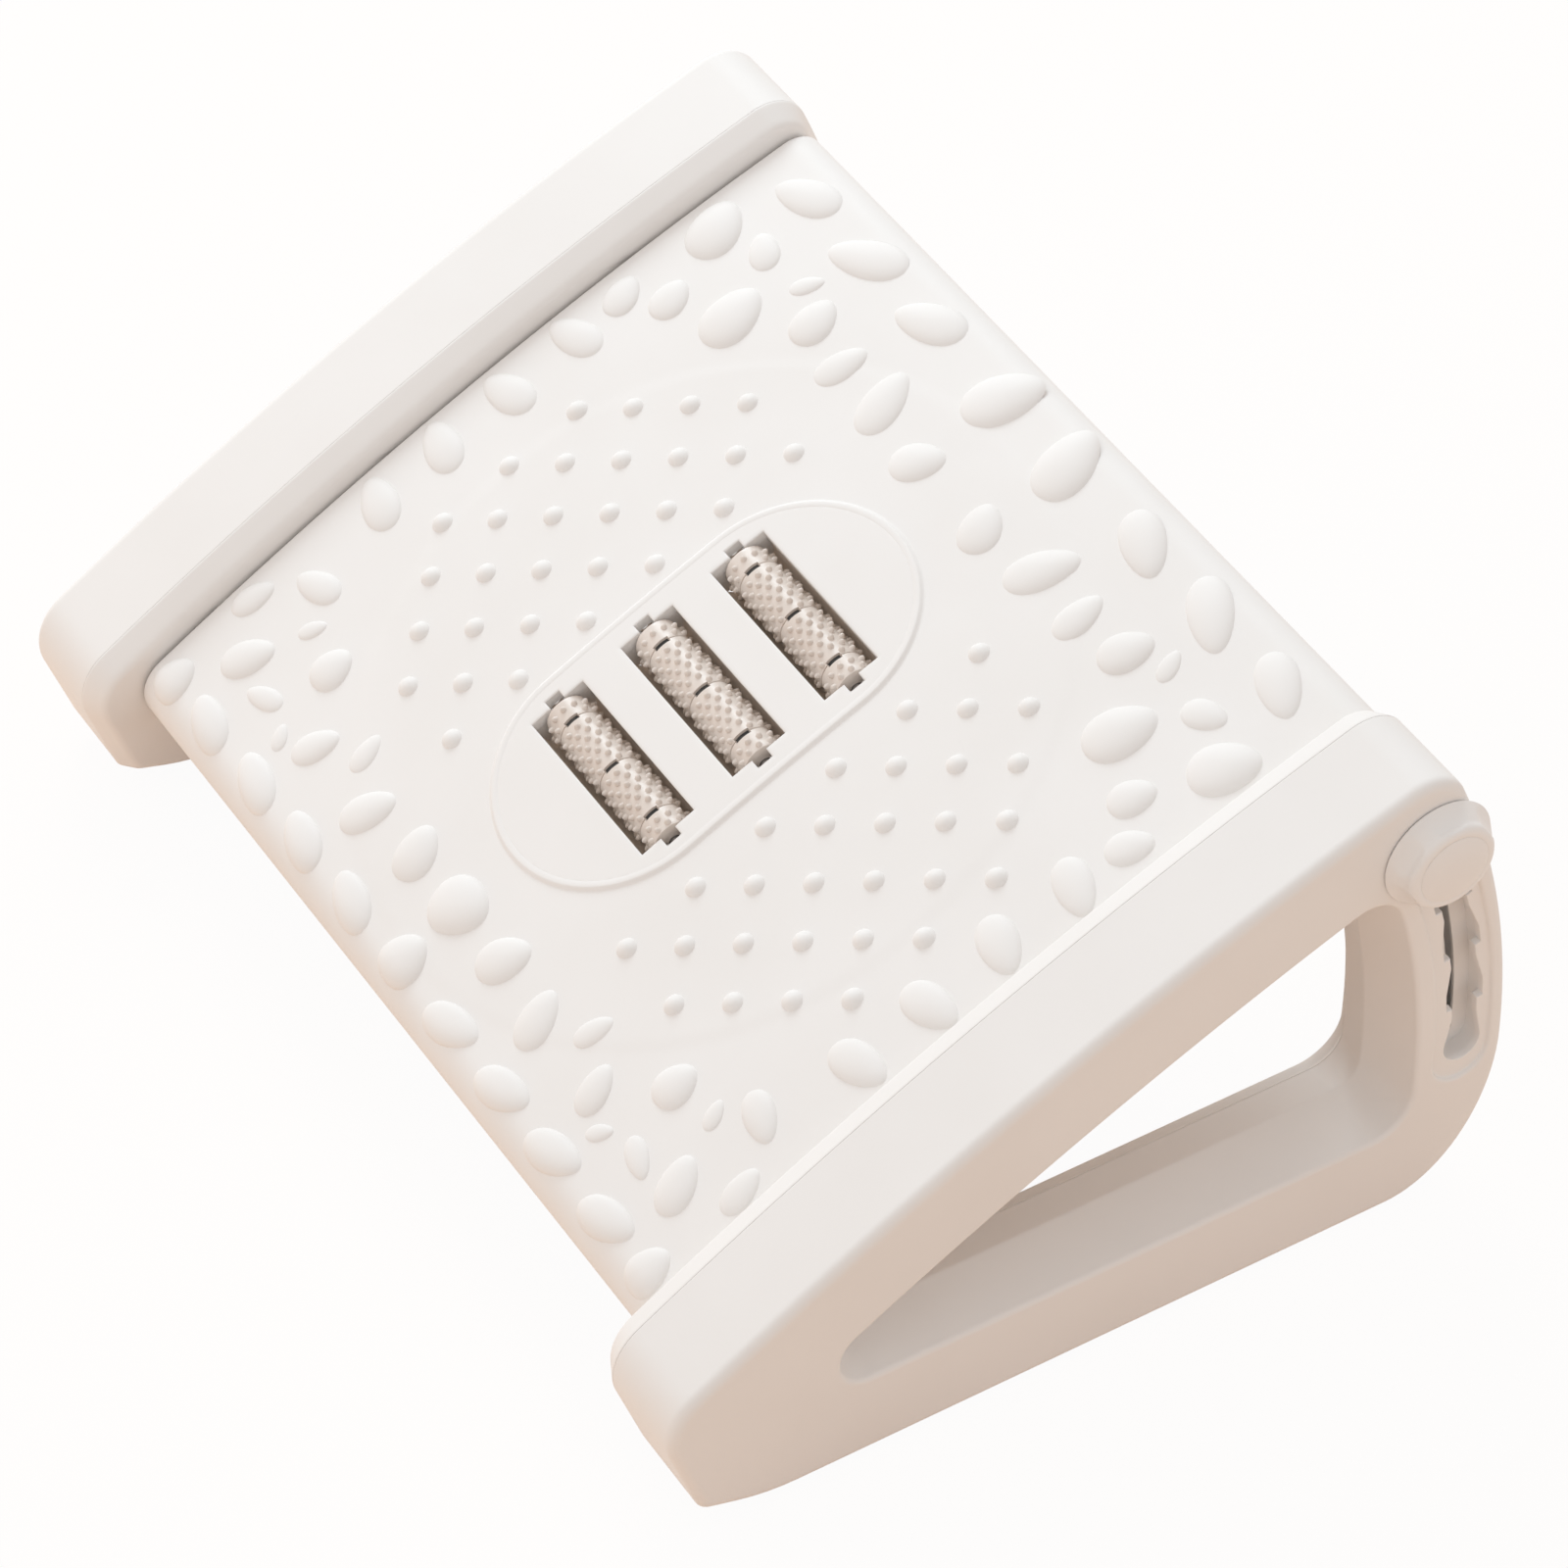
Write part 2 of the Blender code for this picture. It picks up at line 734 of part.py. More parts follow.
def plate_outline(inset):
    # The plate's side view: the arch, the rolled rear, the deep tail that holds the lock,
    # the shallow cheek and the rolled nose
    tail_s = rear_reach + plate_rear_radius * pi / 2
    nose_end = -front_reach - plate_nose_radius * nose_turn
    points = []
    for i in range(arch_steps + 1):
        s = -front_reach + (front_reach + rear_reach) * i / arch_steps
        points.append(skin(s, -inset))
    for i in range(1, 5):
        points.append(skin(rear_reach + (tail_s - rear_reach) * i / 4, -inset))
    back_s = rear_reach + plate_rear_radius - inset
    lean = rest_angle - rear_reach / arch_radius
    corner = skin(rear_reach, -tail_depth + inset)
    points.append(along(corner, back_s - rear_reach, lean))
    points.append(skin(rear_reach + plate_rear_radius - tail_length, -tail_depth + inset))
    for i in range(arch_steps // 2 + 1):
        start = rear_reach + plate_rear_radius - tail_length - tail_slope_length
        end = -front_reach + tail_length
        points.append(skin(start + (end - start) * i / (arch_steps // 2), -cheek_depth + inset))
    for i in range(9):
        points.append(skin(nose_end + (-front_reach - nose_end) * i / 9, -inset))
    return points


def pocket_outline():
    # The hollow under the plate, open below
    points = []
    for i in range(arch_steps + 1):
        s = -front_reach + (front_reach + rear_reach) * i / arch_steps
        points.append(skin(s, -plate_wall))
    tail_s = rear_reach + plate_rear_radius * pi / 2
    for i in range(1, 4):
        points.append(skin(rear_reach + (tail_s - rear_reach) * i / 3, -plate_wall))
    lean = rest_angle - rear_reach / arch_radius
    below = skin(rear_reach, -tail_depth * 2)
    points.append(along(below, plate_rear_radius - plate_wall, lean))
    lip = skin(-front_reach - plate_nose_radius * nose_lip_turn, -plate_wall)
    points.append((lip[0], lip[1] - plate_nose_radius * 2))
    for i in range(6):
        s = -front_reach - plate_nose_radius * nose_lip_turn * (6 - i) / 6
        points.append(skin(s, -plate_wall))
    return points


def add_block(bm, x_start, x_end, s_start, s_end, n_low, n_high, count=1):
    # A bar that follows the arch
    outline = []
    for i in range(count + 1):
        outline.append(skin(s_start + (s_end - s_start) * i / count, n_low))
    for i in range(count + 1):
        outline.append(skin(s_end + (s_start - s_end) * i / count, n_high))
    add_prism(bm, outline, x_start, x_end)


def add_trough(bm, s, reach):
    # The round wall below a roller slot that hides the floor from above
    hub = axle_place(s)
    lean = rest_angle - s / arch_radius
    inner = slot_width / 2 - clearance
    points = arc(hub, inner + trough_wall, lean - pi, lean, 10) + arc(hub, inner, lean, lean - pi, 10)
    add_prism(bm, points, -reach, reach)


def slot_places():
    return [(i - (slot_count - 1) / 2) * slot_spacing for i in range(slot_count)]


def add_stadium(bm):
    # The low raised field that holds the roller slots, in cross strips that follow the arch
    half = stadium_straight / 2
    stations = []
    for i in range(7):
        angle = stadium_end_turn + (pi / 2 - stadium_end_turn) * i / 6
        stations.append((half + stadium_radius * cos(angle), stadium_radius * sin(angle)))
    stations = stations + [(half / 3, stadium_radius), (-half / 3, stadium_radius)]
    stations += [(-s, reach) for s, reach in reversed(stations[:7])]
    rows = []
    for s, reach in stations:
        row = []
        for x, n in ((-reach - stadium_skirt, -overrun), (-reach, stadium_rise), (reach, stadium_rise),
                     (reach + stadium_skirt, -overrun)):
            y, z = skin(s, n)
            row.append(bm.verts.new((x, y, z)))
        rows.append(row)
    for row_a, row_b in zip(rows, rows[1:]):
        for i in range(4):
            j = (i + 1) % 4
            bm.faces.new((row_a[i], row_a[j], row_b[j], row_b[i]))
    bm.faces.new(rows[0])
    bm.faces.new(rows[-1])


def add_dome(bm, x, s, half_long, half_wide, turn, rings, sides, egg):
    # A low egg-shaped dome that follows the plate's skin. A ring is a share of the size and a height.
    loops = []
    for share, height in rings:
        loop = []
        for i in range(sides):
            angle = 2 * pi * i / sides
            a = half_long * share * cos(angle)
            b = half_wide * share * sin(angle) * (1 - egg * cos(angle))
            across = x + a * cos(turn) - b * sin(turn)
            y, z = skin(s + a * sin(turn) + b * cos(turn), height)
            loop.append(bm.verts.new((across, y, z)))
        loops.append(loop)
    for loop_a, loop_b in zip(loops, loops[1:]):
        join_loops(bm, loop_a, loop_b)
    bm.faces.new(loops[0])
    bm.faces.new(loops[-1])


def pebble_places():
    # Across, along, half length, half width and turn of every pebble
    places = []
    for row in middle_pebble_shares:
        places.append(row)
    for across, s, length, width, turn in pebble_shares:
        places.append((across, s, length, width, turn))
        places.append((-across, s, length, width, 180 - turn))
    sized = []
    for across, s, length, width, turn in places:
        half_long = pebble_length * length / 2
        half_wide = pebble_length * width / 2
        sized.append((plate_half * across, plate_place(s), half_long, half_wide, radians(turn)))
    return sized


def dot_places():
    # The dots stand where a diagonal grid falls inside two fields beside the pad
    places = []
    for column in dot_columns:
        for half_row in range(-dot_half_rows, dot_half_rows + 1):
            row = half_row / 2
            if (round(2 * column) + half_row) % 2 == 1 and column + abs(row) <= dot_field_reach:
                places.append((column * dot_pitch, row * dot_pitch))
                places.append((-column * dot_pitch, row * dot_pitch))
    return places


def add_relief(bm):
    add_stadium(bm)
    for x, s, half_long, half_wide, turn in pebble_places():
        rise = 2 * half_wide * pebble_rise_share
        sides = 10 if 2 * half_long > pebble_length * long_pebble_share else 8
        shares = pebble_ring_shares
        if 2 * half_long < pebble_length * small_pebble_share:
            shares = small_pebble_ring_shares
        rings = [(1, -pebble_sunk)] + [(share, rise * height) for share, height in shares]
        add_dome(bm, x, s, half_long, half_wide, turn, rings, sides, pebble_egg_share)
    for x, s in dot_places():
        rings = ((1, -pebble_sunk), (dot_top_radius / dot_radius, dot_rise))
        add_dome(bm, x, s, dot_radius, dot_radius, 0, rings, 6, 0)


def footplate(name):
    bm = bmesh.new()
    rings = []
    for along_share, in_share in side_round_shares:
        rings.append((plate_half - plate_side_round * along_share, plate_side_round * in_share))
    rings += [(-x, inset) for x, inset in reversed(rings)]
    loops = [loop_at(bm, x, plate_outline(inset)) for x, inset in rings]
    for loop_a, loop_b in zip(loops, loops[1:]):
        join_loops(bm, loop_a, loop_b)
    bm.faces.new(loops[0])
    bm.faces.new(loops[-1])
    plate = make_object(name, bm, plastic_white(name))

    bm = bmesh.new()
    add_prism(bm, pocket_outline(), -plate_half + cheek_wall, plate_half - cheek_wall)
    combine(plate, [make_cutter(name + "_pocket", bm)], "DIFFERENCE")

    top = -plate_wall * buried_share
    bm = bmesh.new()
    for side in (-1, 1):
        boss_end = side * (plate_half - cheek_wall / 2)
        add_cylinder(bm, pivot, rod_boss_radius, side * (plate_half - plate_boss_length), boss_end, 16)
        add_cylinder(bm, lock, lug_radius, side * (plate_half - lug_length), boss_end, 16)
    rib_start = -pivot_reach + 2 * rod_boss_radius
    rib_end = rear_reach + plate_rear_radius * buried_share
    half = rib_thickness / 2
    for share in rib_place_shares:
        x = plate_half * share
        add_block(bm, x - half, x + half, rib_start, rib_end, -rib_depth, top, arch_steps // 2)
    combine(plate, [make_cutter(name + "_ribs", bm)], "UNION")

    bm = bmesh.new()
    reach = plate_half * max(rib_place_shares) + overrun
    for s in (rib_start, rear_reach * cross_rib_share):
        add_block(bm, -reach, reach, s - half, s + half, -cross_rib_depth, top)
    reach = slot_length / 2 - clearance
    for s in slot_places():
        for side in (-1, 1):
            near = s + side * slot_width / 2
            far = near + side * rib_thickness
            add_block(bm, -reach, reach, near, far, -slot_rib_depth, top)
        add_trough(bm, s, reach - clearance)
    combine(plate, [make_cutter(name + "_cross_ribs", bm)], "UNION")

    bm = bmesh.new()
    add_relief(bm)
    combine(plate, [make_cutter(name + "_relief", bm)], "UNION")

    bm = bmesh.new()
    for side in (-1, 1):
        bush_radius = rod_radius + bush_wall + 2 * clearance
        start = side * (plate_half - plate_boss_length - overrun)
        add_cylinder(bm, pivot, bush_radius, start, side * (plate_half + overrun), 16)
        start = side * (plate_half - lug_length - overrun)
        add_cylinder(bm, lock, pin_radius + clearance, start, side * (plate_half + overrun), 14)
    pilot = rail_screw_radius + clearance
    for x, s in rail_screw_places():
        add_upright(bm, x, s, pilot, -plate_wall - overrun, -plate_wall + rail_screw_bite, 8)
    combine(plate, [make_cutter(name + "_bores", bm)], "DIFFERENCE")

    bm = bmesh.new()
    for s in slot_places():
        high = stadium_rise + overrun
        low = -plate_wall - overrun
        half = slot_length / 2
        add_slot_outline(bm, s, half, low, high)
    combine(plate, [make_cutter(name + "_slots", bm)], "DIFFERENCE")
    return plate


def add_slot_outline(bm, s, half, low, high):
    # A slot with a notch at each end for the axle
    wide = slot_width / 2
    slim = notch_width / 2
    right = half + notch_length_right
    left = half + notch_length_left
    plan = (
        (half, -wide), (half, -slim), (right, -slim), (right, slim), (half, slim), (half, wide),
        (-half, wide), (-half, slim), (-left, slim), (-left, -slim), (-half, -slim), (-half, -wide),
    )
    loops = []
    for n in (low, high):
        loop = []
        for x, ds in plan:
            y, z = skin(s + ds, n)
            loop.append(bm.verts.new((x, y, z)))
        loops.append(loop)
    join_loops(bm, loops[0], loops[1])
    bm.faces.new(loops[0])
    bm.faces.new(loops[1])


def add_upright(bm, x, s, radius, n_low, n_high, sides):
    # A cylinder that stands square to the plate
    loops = []
    for n in (n_low, n_high):
        loop = []
        for i in range(sides):
            angle = 2 * pi * i / sides
            y, z = skin(s + radius * sin(angle), n)
            loop.append(bm.verts.new((x + radius * cos(angle), y, z)))
        loops.append(loop)
    join_loops(bm, loops[0], loops[1])
    bm.faces.new(loops[0])
    bm.faces.new(loops[1])


def rod_bush(name, side):
    inner = rod_radius + clearance
    outer = inner + bush_wall
    seat = plate_half + clearance
    bm = bmesh.new()
    profile = (
        (side * (plate_half - bush_length), inner),
        (side * (plate_half - bush_length), outer),
        (side * seat, outer),
        (side * seat, flange_radius),
        (side * (seat + flange_thickness), flange_radius),
        (side * (seat + flange_thickness), inner),
    )
    add_turned(bm, pivot, profile, 16)
    return make_object(name, bm, nylon(name))


def slide_washer(name, side):
    start = side * (plate_half + clearance)
    bm = bmesh.new()
    add_tube(bm, lock, flange_radius, pin_radius + clearance, start, start + side * flange_thickness, 16)
    return make_object(name, bm, nylon(name))


# Rear lock

def lock_pin(name, side):
    collar_end = face_x - face_wall - clearance
    bm = bmesh.new()
    profile = (
        (side * (plate_half - pin_hold), 0),
        (side * (plate_half - pin_hold), pin_radius),
        (side * (collar_end - collar_length), pin_radius),
        (side * (collar_end - collar_length), collar_radius),
        (side * collar_end, collar_radius),
        (side * collar_end, pin_radius),
        (side * pin_end_x, pin_radius),
        (side * pin_end_x, 0),
    )
    add_turned(bm, lock, profile, 14)
    return make_object(name, bm, steel(name))


def lock_knob(name, side):
    # A cup with its rim just off the frame, a hub that stands in the channel and a seat for the cap
    hub_end = face_x - channel_depth + clearance
    rim = face_x + clearance
    top = face_x + knob_height
    seat = cap_seat_x
    bore = pin_radius + clearance
    shoulder = knob_radius - knob_taper

    def flutes(x, radius, angle):
        on_side = radius > shoulder - knob_shoulder and abs(x) > rim + knob_rim_wall
        return flute_depth * max(0.0, cos(flute_count * (angle - pi / 2))) if on_side else 0.0

    profile = (
        (side * hub_end, bore),
        (side * hub_end, knob_hub_radius),
        (side * (seat - knob_web), knob_hub_radius),
        (side * (seat - knob_web), knob_radius - knob_rim_wall),
        (side * rim, knob_radius - knob_rim_wall),
        (side * rim, knob_radius),
        (side * (rim + knob_rim_wall), knob_radius),
        (side * (top - knob_shoulder), shoulder),
        (side * top, shoulder - knob_shoulder),
        (side * top, cap_radius + clearance),
        (side * seat, cap_radius + clearance),
        (side * seat, bore),
    )
    bm = bmesh.new()
    add_turned(bm, lock, profile, flute_count * flute_steps, flutes)
    return make_object(name, bm, plastic_white(name))


def knob_cap(name, side):
    seat = cap_seat_x + clearance
    top = face_x + knob_height
    bm = bmesh.new()
    profile = [(side * seat, 0), (side * seat, cap_radius)]
    for out_share, rise_share in cap_dome_shares:
        profile.append((side * (top + cap_rise * rise_share), cap_radius * out_share))
    add_turned(bm, lock, profile, 20)
    return make_object(name, bm, plastic_white(name))


# Rollers

def axle_place(s):
    return skin(s, -roller_drop)


def roller_axle(name, s):
    reach = slot_length / 2 + axle_reach
    bm = bmesh.new()
    add_cylinder(bm, axle_place(s), axle_radius, -reach, reach, 10)
    return make_object(name, bm, steel(name))


def segment_spans():
    # Start and end of each segment on an axle, and how many rings of cells it has
    row = slot_length - 2 * roller_end_gap
    drums = row - segment_gap * (len(segment_shares) - 1)
    start = -row / 2
    spans = []
    for share, rings in zip(segment_shares, segment_rings):
        end = start + drums * share
        spans.append((start, end, rings))
        start = end + segment_gap
    return spans


def roller_segment(name, s, start, end, cells):
    # A drum of flat cells. Every second cell in a ring rises to a spike, staggered ring by ring.
    centre = axle_place(s)
    bm = bmesh.new()
    turns = [2 * pi * (k + 0.5) / roller_sides for k in range(roller_sides)]
    drum = [along(centre, drum_radius, turn) for turn in turns]
    bore = [along(centre, axle_radius + clearance, turn) for turn in turns]
    rings = [loop_at(bm, start + (end - start) * i / cells, drum) for i in range(cells + 1)]
    bores = [loop_at(bm, x, bore) for x in (end, start)]
    join_loops(bm, rings[-1], bores[0])
    join_loops(bm, bores[0], bores[1])
    join_loops(bm, bores[1], rings[0])
    for i in range(cells):
        for k in range(roller_sides):
            j = (k + 1) % roller_sides
            corners = (rings[i][k], rings[i][j], rings[i + 1][j], rings[i + 1][k])
            if (i + k) % 2 == 0:
                bm.faces.new(corners)
                continue
            x = (corners[0].co.x + corners[2].co.x) / 2
            tip_y, tip_z = along(centre, drum_radius + spike_height, 2 * pi * (k + 1) / roller_sides)
            tip = bm.verts.new((x, tip_y, tip_z))
            for a, b in zip(corners, corners[1:] + corners[:1]):
                bm.faces.new((a, b, tip))
    return make_object(name, bm, plastic_cream(name))


def rail_screw_places():
    x = slot_length / 2 + clearance + rail_width / 2
    s = rail_half_length - rail_screw_inset
    return [(side * x, end * s) for side in (-1, 1) for end in (-1, 1)]


def roller_rail(name, side):
    # A bar under the plate with a round-bottomed notch for each axle
    high = -plate_wall - clearance
    notch = axle_radius + clearance
    outline = []
    for i in range(9):
        s = -rail_half_length + 2 * rail_half_length * i / 8
        outline.append(skin(s, -rail_depth))
    outline.append(skin(rail_half_length, high))
    for s in reversed(slot_places()):
        outline.append(skin(s + notch, high))
        for i in range(7):
            angle = -pi * i / 6
            outline.append(skin(s + notch * cos(angle), -roller_drop + notch * sin(angle)))
        outline.append(skin(s - notch, high))
    outline.append(skin(-rail_half_length, high))
    start = slot_length / 2 + clearance
    bm = bmesh.new()
    add_prism(bm, outline, side * start, side * (start + rail_width))
    rail = make_object(name, bm, plastic_white(name))
    bm = bmesh.new()
    for x, s in rail_screw_places():
        if x * side > 0:
            add_upright(bm, x, s, rail_screw_radius + clearance, -rail_depth - overrun, high + overrun, 8)
    combine(rail, [make_cutter(name + "_holes", bm)], "DIFFERENCE")
    return rail


def rail_screw(name, x, s):
    bm = bmesh.new()
    under = -rail_depth - clearance
    levels = (
        (under - rail_screw_head_height, rail_screw_head_radius),
        (under, rail_screw_head_radius),
        (under, rail_screw_radius),
        (-plate_wall + rail_screw_bite - clearance, rail_screw_radius),
    )
    loops = []
    for n, radius in levels:
        loop = []
        for i in range(8):
            angle = 2 * pi * i / 8
            y, z = skin(s + radius * sin(angle), n)
            loop.append(bm.verts.new((x + radius * cos(angle), y, z)))
        loops.append(loop)
    for loop_a, loop_b in zip(loops, loops[1:]):
        join_loops(bm, loop_a, loop_b)
    bm.faces.new(loops[0])
    bm.faces.new(loops[-1])
    return make_object(name, bm, steel(name))


# Assembly

def joint_axis(name, place, parent=None):
    made = bpy.data.objects.new(name, None)
    bpy.context.scene.collection.objects.link(made)
    made.location = Vector(place)
    if parent:
        made.location -= parent.matrix_world.translation
        made.parent = parent
    bpy.context.view_layer.update()
    return made


def hang(made, parent):
    # The mesh keeps its place in the world while its origin moves to the parent's axis
    shift = parent.matrix_world.translation
    for vert in made.data.vertices:
        vert.co -= shift
    made.parent = parent


def build():
    for old in list(bpy.data.objects):
        bpy.data.objects.remove(old)
    tilt = joint_axis("tilt_axis", (0, pivot[0], pivot[1]))
    front_rod("front_rod")
    hang(footplate("footplate"), tilt)
    for word, side in (("left", -1), ("right", 1)):
        outer_shell(word + "_outer_shell", side)
        inner_shell(word + "_inner_shell", side)
        for number, place in enumerate(frame_posts(), 1):
            shell_screw(f"{word}_shell_screw_{number}", side, place)
        for end, share in pad_place_shares.items():
            foot_pad(f"{word}_{end}_pad", side, share)
        hang(rod_bush(word + "_rod_bush", side), tilt)
        hang(slide_washer(word + "_slide_washer", side), tilt)
        hang(roller_rail(word + "_roller_rail", side), tilt)
        lock_axis = joint_axis(word + "_lock_axis", (side * face_x, lock[0], lock[1]), tilt)
        hang(lock_pin(word + "_lock_pin", side), lock_axis)
        knob_axis = joint_axis(word + "_knob_axis", (side * face_x, lock[0], lock[1]), tilt)
        hang(lock_knob(word + "_lock_knob", side), knob_axis)
        hang(knob_cap(word + "_knob_cap", side), knob_axis)
    for number, (x, s) in enumerate(rail_screw_places(), 1):
        hang(rail_screw(f"rail_screw_{number}", x, s), tilt)
    for word, s in zip(("front", "middle", "rear"), slot_places()):
        y, z = axle_place(s)
        spin = joint_axis(word + "_roller_axis", (0, y, z), tilt)
        hang(roller_axle(word + "_roller_axle", s), spin)
        for number, (start, end, cells) in enumerate(segment_spans(), 1):
            hang(roller_segment(f"{word}_roller_segment_{number}", s, start, end, cells), spin)


build()
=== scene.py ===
# Adjustable footrest: fine surfaces, finishes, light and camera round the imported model.
# X is the width, Y runs from the user's side to the back and Z is up, in metres.

import bpy
import bmesh
from math import acos, asin, atan2, cos, dist, pi, radians, sin, sqrt
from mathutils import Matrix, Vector
from mathutils.geometry import tessellate_polygon


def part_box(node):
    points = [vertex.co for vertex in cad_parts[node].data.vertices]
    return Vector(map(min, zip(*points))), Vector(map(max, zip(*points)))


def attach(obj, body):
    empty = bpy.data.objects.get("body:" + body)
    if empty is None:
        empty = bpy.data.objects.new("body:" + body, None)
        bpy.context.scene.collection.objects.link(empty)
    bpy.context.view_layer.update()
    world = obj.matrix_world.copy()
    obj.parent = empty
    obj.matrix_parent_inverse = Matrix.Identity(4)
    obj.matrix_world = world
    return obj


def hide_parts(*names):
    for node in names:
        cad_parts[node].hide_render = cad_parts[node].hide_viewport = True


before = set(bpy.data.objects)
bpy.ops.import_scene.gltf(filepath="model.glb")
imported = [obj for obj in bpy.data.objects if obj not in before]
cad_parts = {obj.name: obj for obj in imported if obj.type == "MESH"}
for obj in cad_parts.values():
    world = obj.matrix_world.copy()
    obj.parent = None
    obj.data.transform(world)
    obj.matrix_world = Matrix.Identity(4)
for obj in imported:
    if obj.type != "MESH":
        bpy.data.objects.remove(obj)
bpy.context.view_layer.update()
print("frame loaded,", len(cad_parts), "nodes")


# Main places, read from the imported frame
shellLow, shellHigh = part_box("right_outer_shell")
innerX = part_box("right_inner_shell")[0][0]
faceX = shellHigh[0]
frontY = shellLow[1]
rearY = shellHigh[1]
baseZ = shellLow[2]
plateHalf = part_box("footplate")[1][0]

gap = 0.0003  # between pieces that touch
support = 0.0004  # ring beside a rounded edge that keeps the flat beyond it flat
bend = 0.3  # how far the middle of a small rounding is from both its faces, in its radius
pastRim = 1.0001  # the share of a rolled grid past which its last ring lies under its rim
bothSides = (("left", -1), ("right", 1))

arch = {
    "restAngle": radians(26.1),
    "radius": 1.374,
    "height": 0.1321,
    "setback": 0.0165,
    "frontMargin": 0.0264,
    "rearMargin": 0.0407,
    "noseRadius": 0.015,
    "rearRadius": 0.012,
}
archCentre = (
    -arch["setback"] + arch["radius"] * sin(arch["restAngle"]),
    arch["height"] - arch["radius"] * cos(arch["restAngle"]),
)
tilt = {"pivotInset": 0.0335, "pivotDrop": 0.0105, "lockInset": 0.0035, "lockDrop": 0.0208}


def slopePlace(y):
    # How far up the slope from the plate's middle a place on it is, given its Y
    return arch["radius"] * (arch["restAngle"] - asin((archCentre[0] - y) / arch["radius"]))


frontReach = -slopePlace(frontY + arch["frontMargin"])
rearReach = slopePlace(rearY - arch["rearMargin"])
tailStart = rearReach + arch["rearRadius"] * pi / 2


def along(centre, radius, angle):
    return (centre[0] + radius * cos(angle), centre[1] + radius * sin(angle))


def bearing(start, end):
    return atan2(end[1] - start[1], end[0] - start[0])


def arc(centre, radius, start, end, count):
    return [along(centre, radius, start + (end - start) * i / count) for i in range(count + 1)]


def quarter(count):
    # Points of a rounded edge, in radii: how far each is short of the end face, and how far it has drawn in
    angles = [pi / 2 * i / count for i in range(count + 1)]
    return [(1 - sin(angle), 1 - cos(angle)) for angle in angles]


def meet(centreA, radiusA, centreB, radiusB):
    # The upper of the two points where circles cross
    apart = dist(centreA, centreB)
    turn = acos((radiusA ** 2 + apart ** 2 - radiusB ** 2) / (2 * radiusA * apart))
    heading = bearing(centreA, centreB)
    both = (along(centreA, radiusA, heading + turn), along(centreA, radiusA, heading - turn))
    return max(both, key=lambda place: place[1])


def cross(pointA, headingA, pointB, headingB):
    # Where two straight lines cross
    over, up = pointB[0] - pointA[0], pointB[1] - pointA[1]
    run = (over * sin(headingB) - up * cos(headingB)) / sin(headingB - headingA)
    return along(pointA, run, headingA)


def topAngle(s):
    # The direction straight out of the plate's surface, seen along X
    return arch["restAngle"] + pi / 2 - s / arch["radius"]


def skin(s, n=0.0):
    # A point on the plate, s up its slope from the middle and n above its surface. Past its
    # reach the surface rolls round the nose, or round the rear edge and down the skirt.
    if s < -frontReach:
        hub = skin(-frontReach, -arch["noseRadius"])
        turn = (s + frontReach) / arch["noseRadius"]
        return along(hub, arch["noseRadius"] + n, topAngle(-frontReach) - turn)
    if s > tailStart:
        base = skin(rearReach, -arch["rearRadius"] - (s - tailStart))
        return along(base, arch["rearRadius"] + n, topAngle(rearReach) - pi / 2)
    if s > rearReach:
        hub = skin(rearReach, -arch["rearRadius"])
        turn = (s - rearReach) / arch["rearRadius"]
        return along(hub, arch["rearRadius"] + n, topAngle(rearReach) - turn)
    return along(archCentre, arch["radius"] + n, topAngle(s))


pivot = skin(-frontReach + tilt["pivotInset"], -tilt["pivotDrop"])
lock = skin(rearReach - tilt["lockInset"], -tilt["lockDrop"])
lockRadius = dist(pivot, lock)
lockAngle = bearing(pivot, lock)


# Mesh tools

def ringAt(bm, x, points):
    return [bm.verts.new((x, y, z)) for y, z in points]


def bridge(bm, ringA, ringB, closed=True):
    # Faces between two rings, of which one may be a single repeated point
    count = len(ringA)
    for i in range(count if closed else count - 1):
        j = (i + 1) % count
        bm.faces.new(list(dict.fromkeys((ringA[i], ringA[j], ringB[j], ringB[i]))))


def bridgeAll(bm, rings):
    for ringA, ringB in zip(rings, rings[1:]):
        bridge(bm, ringA, ringB)


def fillFlat(bm, *rings):
    # The flat face inside the first ring, around the others
    flat = [[Vector((v.co.y, v.co.z, 0)) for v in ring] for ring in rings]
    verts = [v for ring in rings for v in ring]
    for a, b, c in tessellate_polygon(flat):
        if len({verts[a], verts[b], verts[c]}) == 3:
            bm.faces.new((verts[a], verts[b], verts[c]))


def turned(bm, centre, profile, count, side=1, wave=None):
    # A closed solid turned round an axis along X, from a list of x and radius. A wave says how much
    # less the radius is at a place and an angle.
    rings = []
    for x, radius in profile:
        if radius == 0:
            rings.append([bm.verts.new((side * x, *centre))] * count)
            continue
        ring = []
        for i in range(count):
            angle = 2 * pi * i / count
            ring.append(along(centre, radius - (wave(x, radius, angle) if wave else 0), angle))
        rings.append(ringAt(bm, side * x, ring))
    if profile[0][1] > 0:
        rings.append(rings[0])
    bridgeAll(bm, rings)


def barrel(start, end, radius, soft):
    # The outside of a turned piece with both rims chamfered
    return [(start, radius - soft), (start + soft, radius), (end - soft, radius), (end, radius - soft)]


def prism(bm, points, xStart, xEnd):
    first = ringAt(bm, xStart, points)
    last = ringAt(bm, xEnd, points)
    bridge(bm, first, last)
    fillFlat(bm, first)
    fillFlat(bm, last)


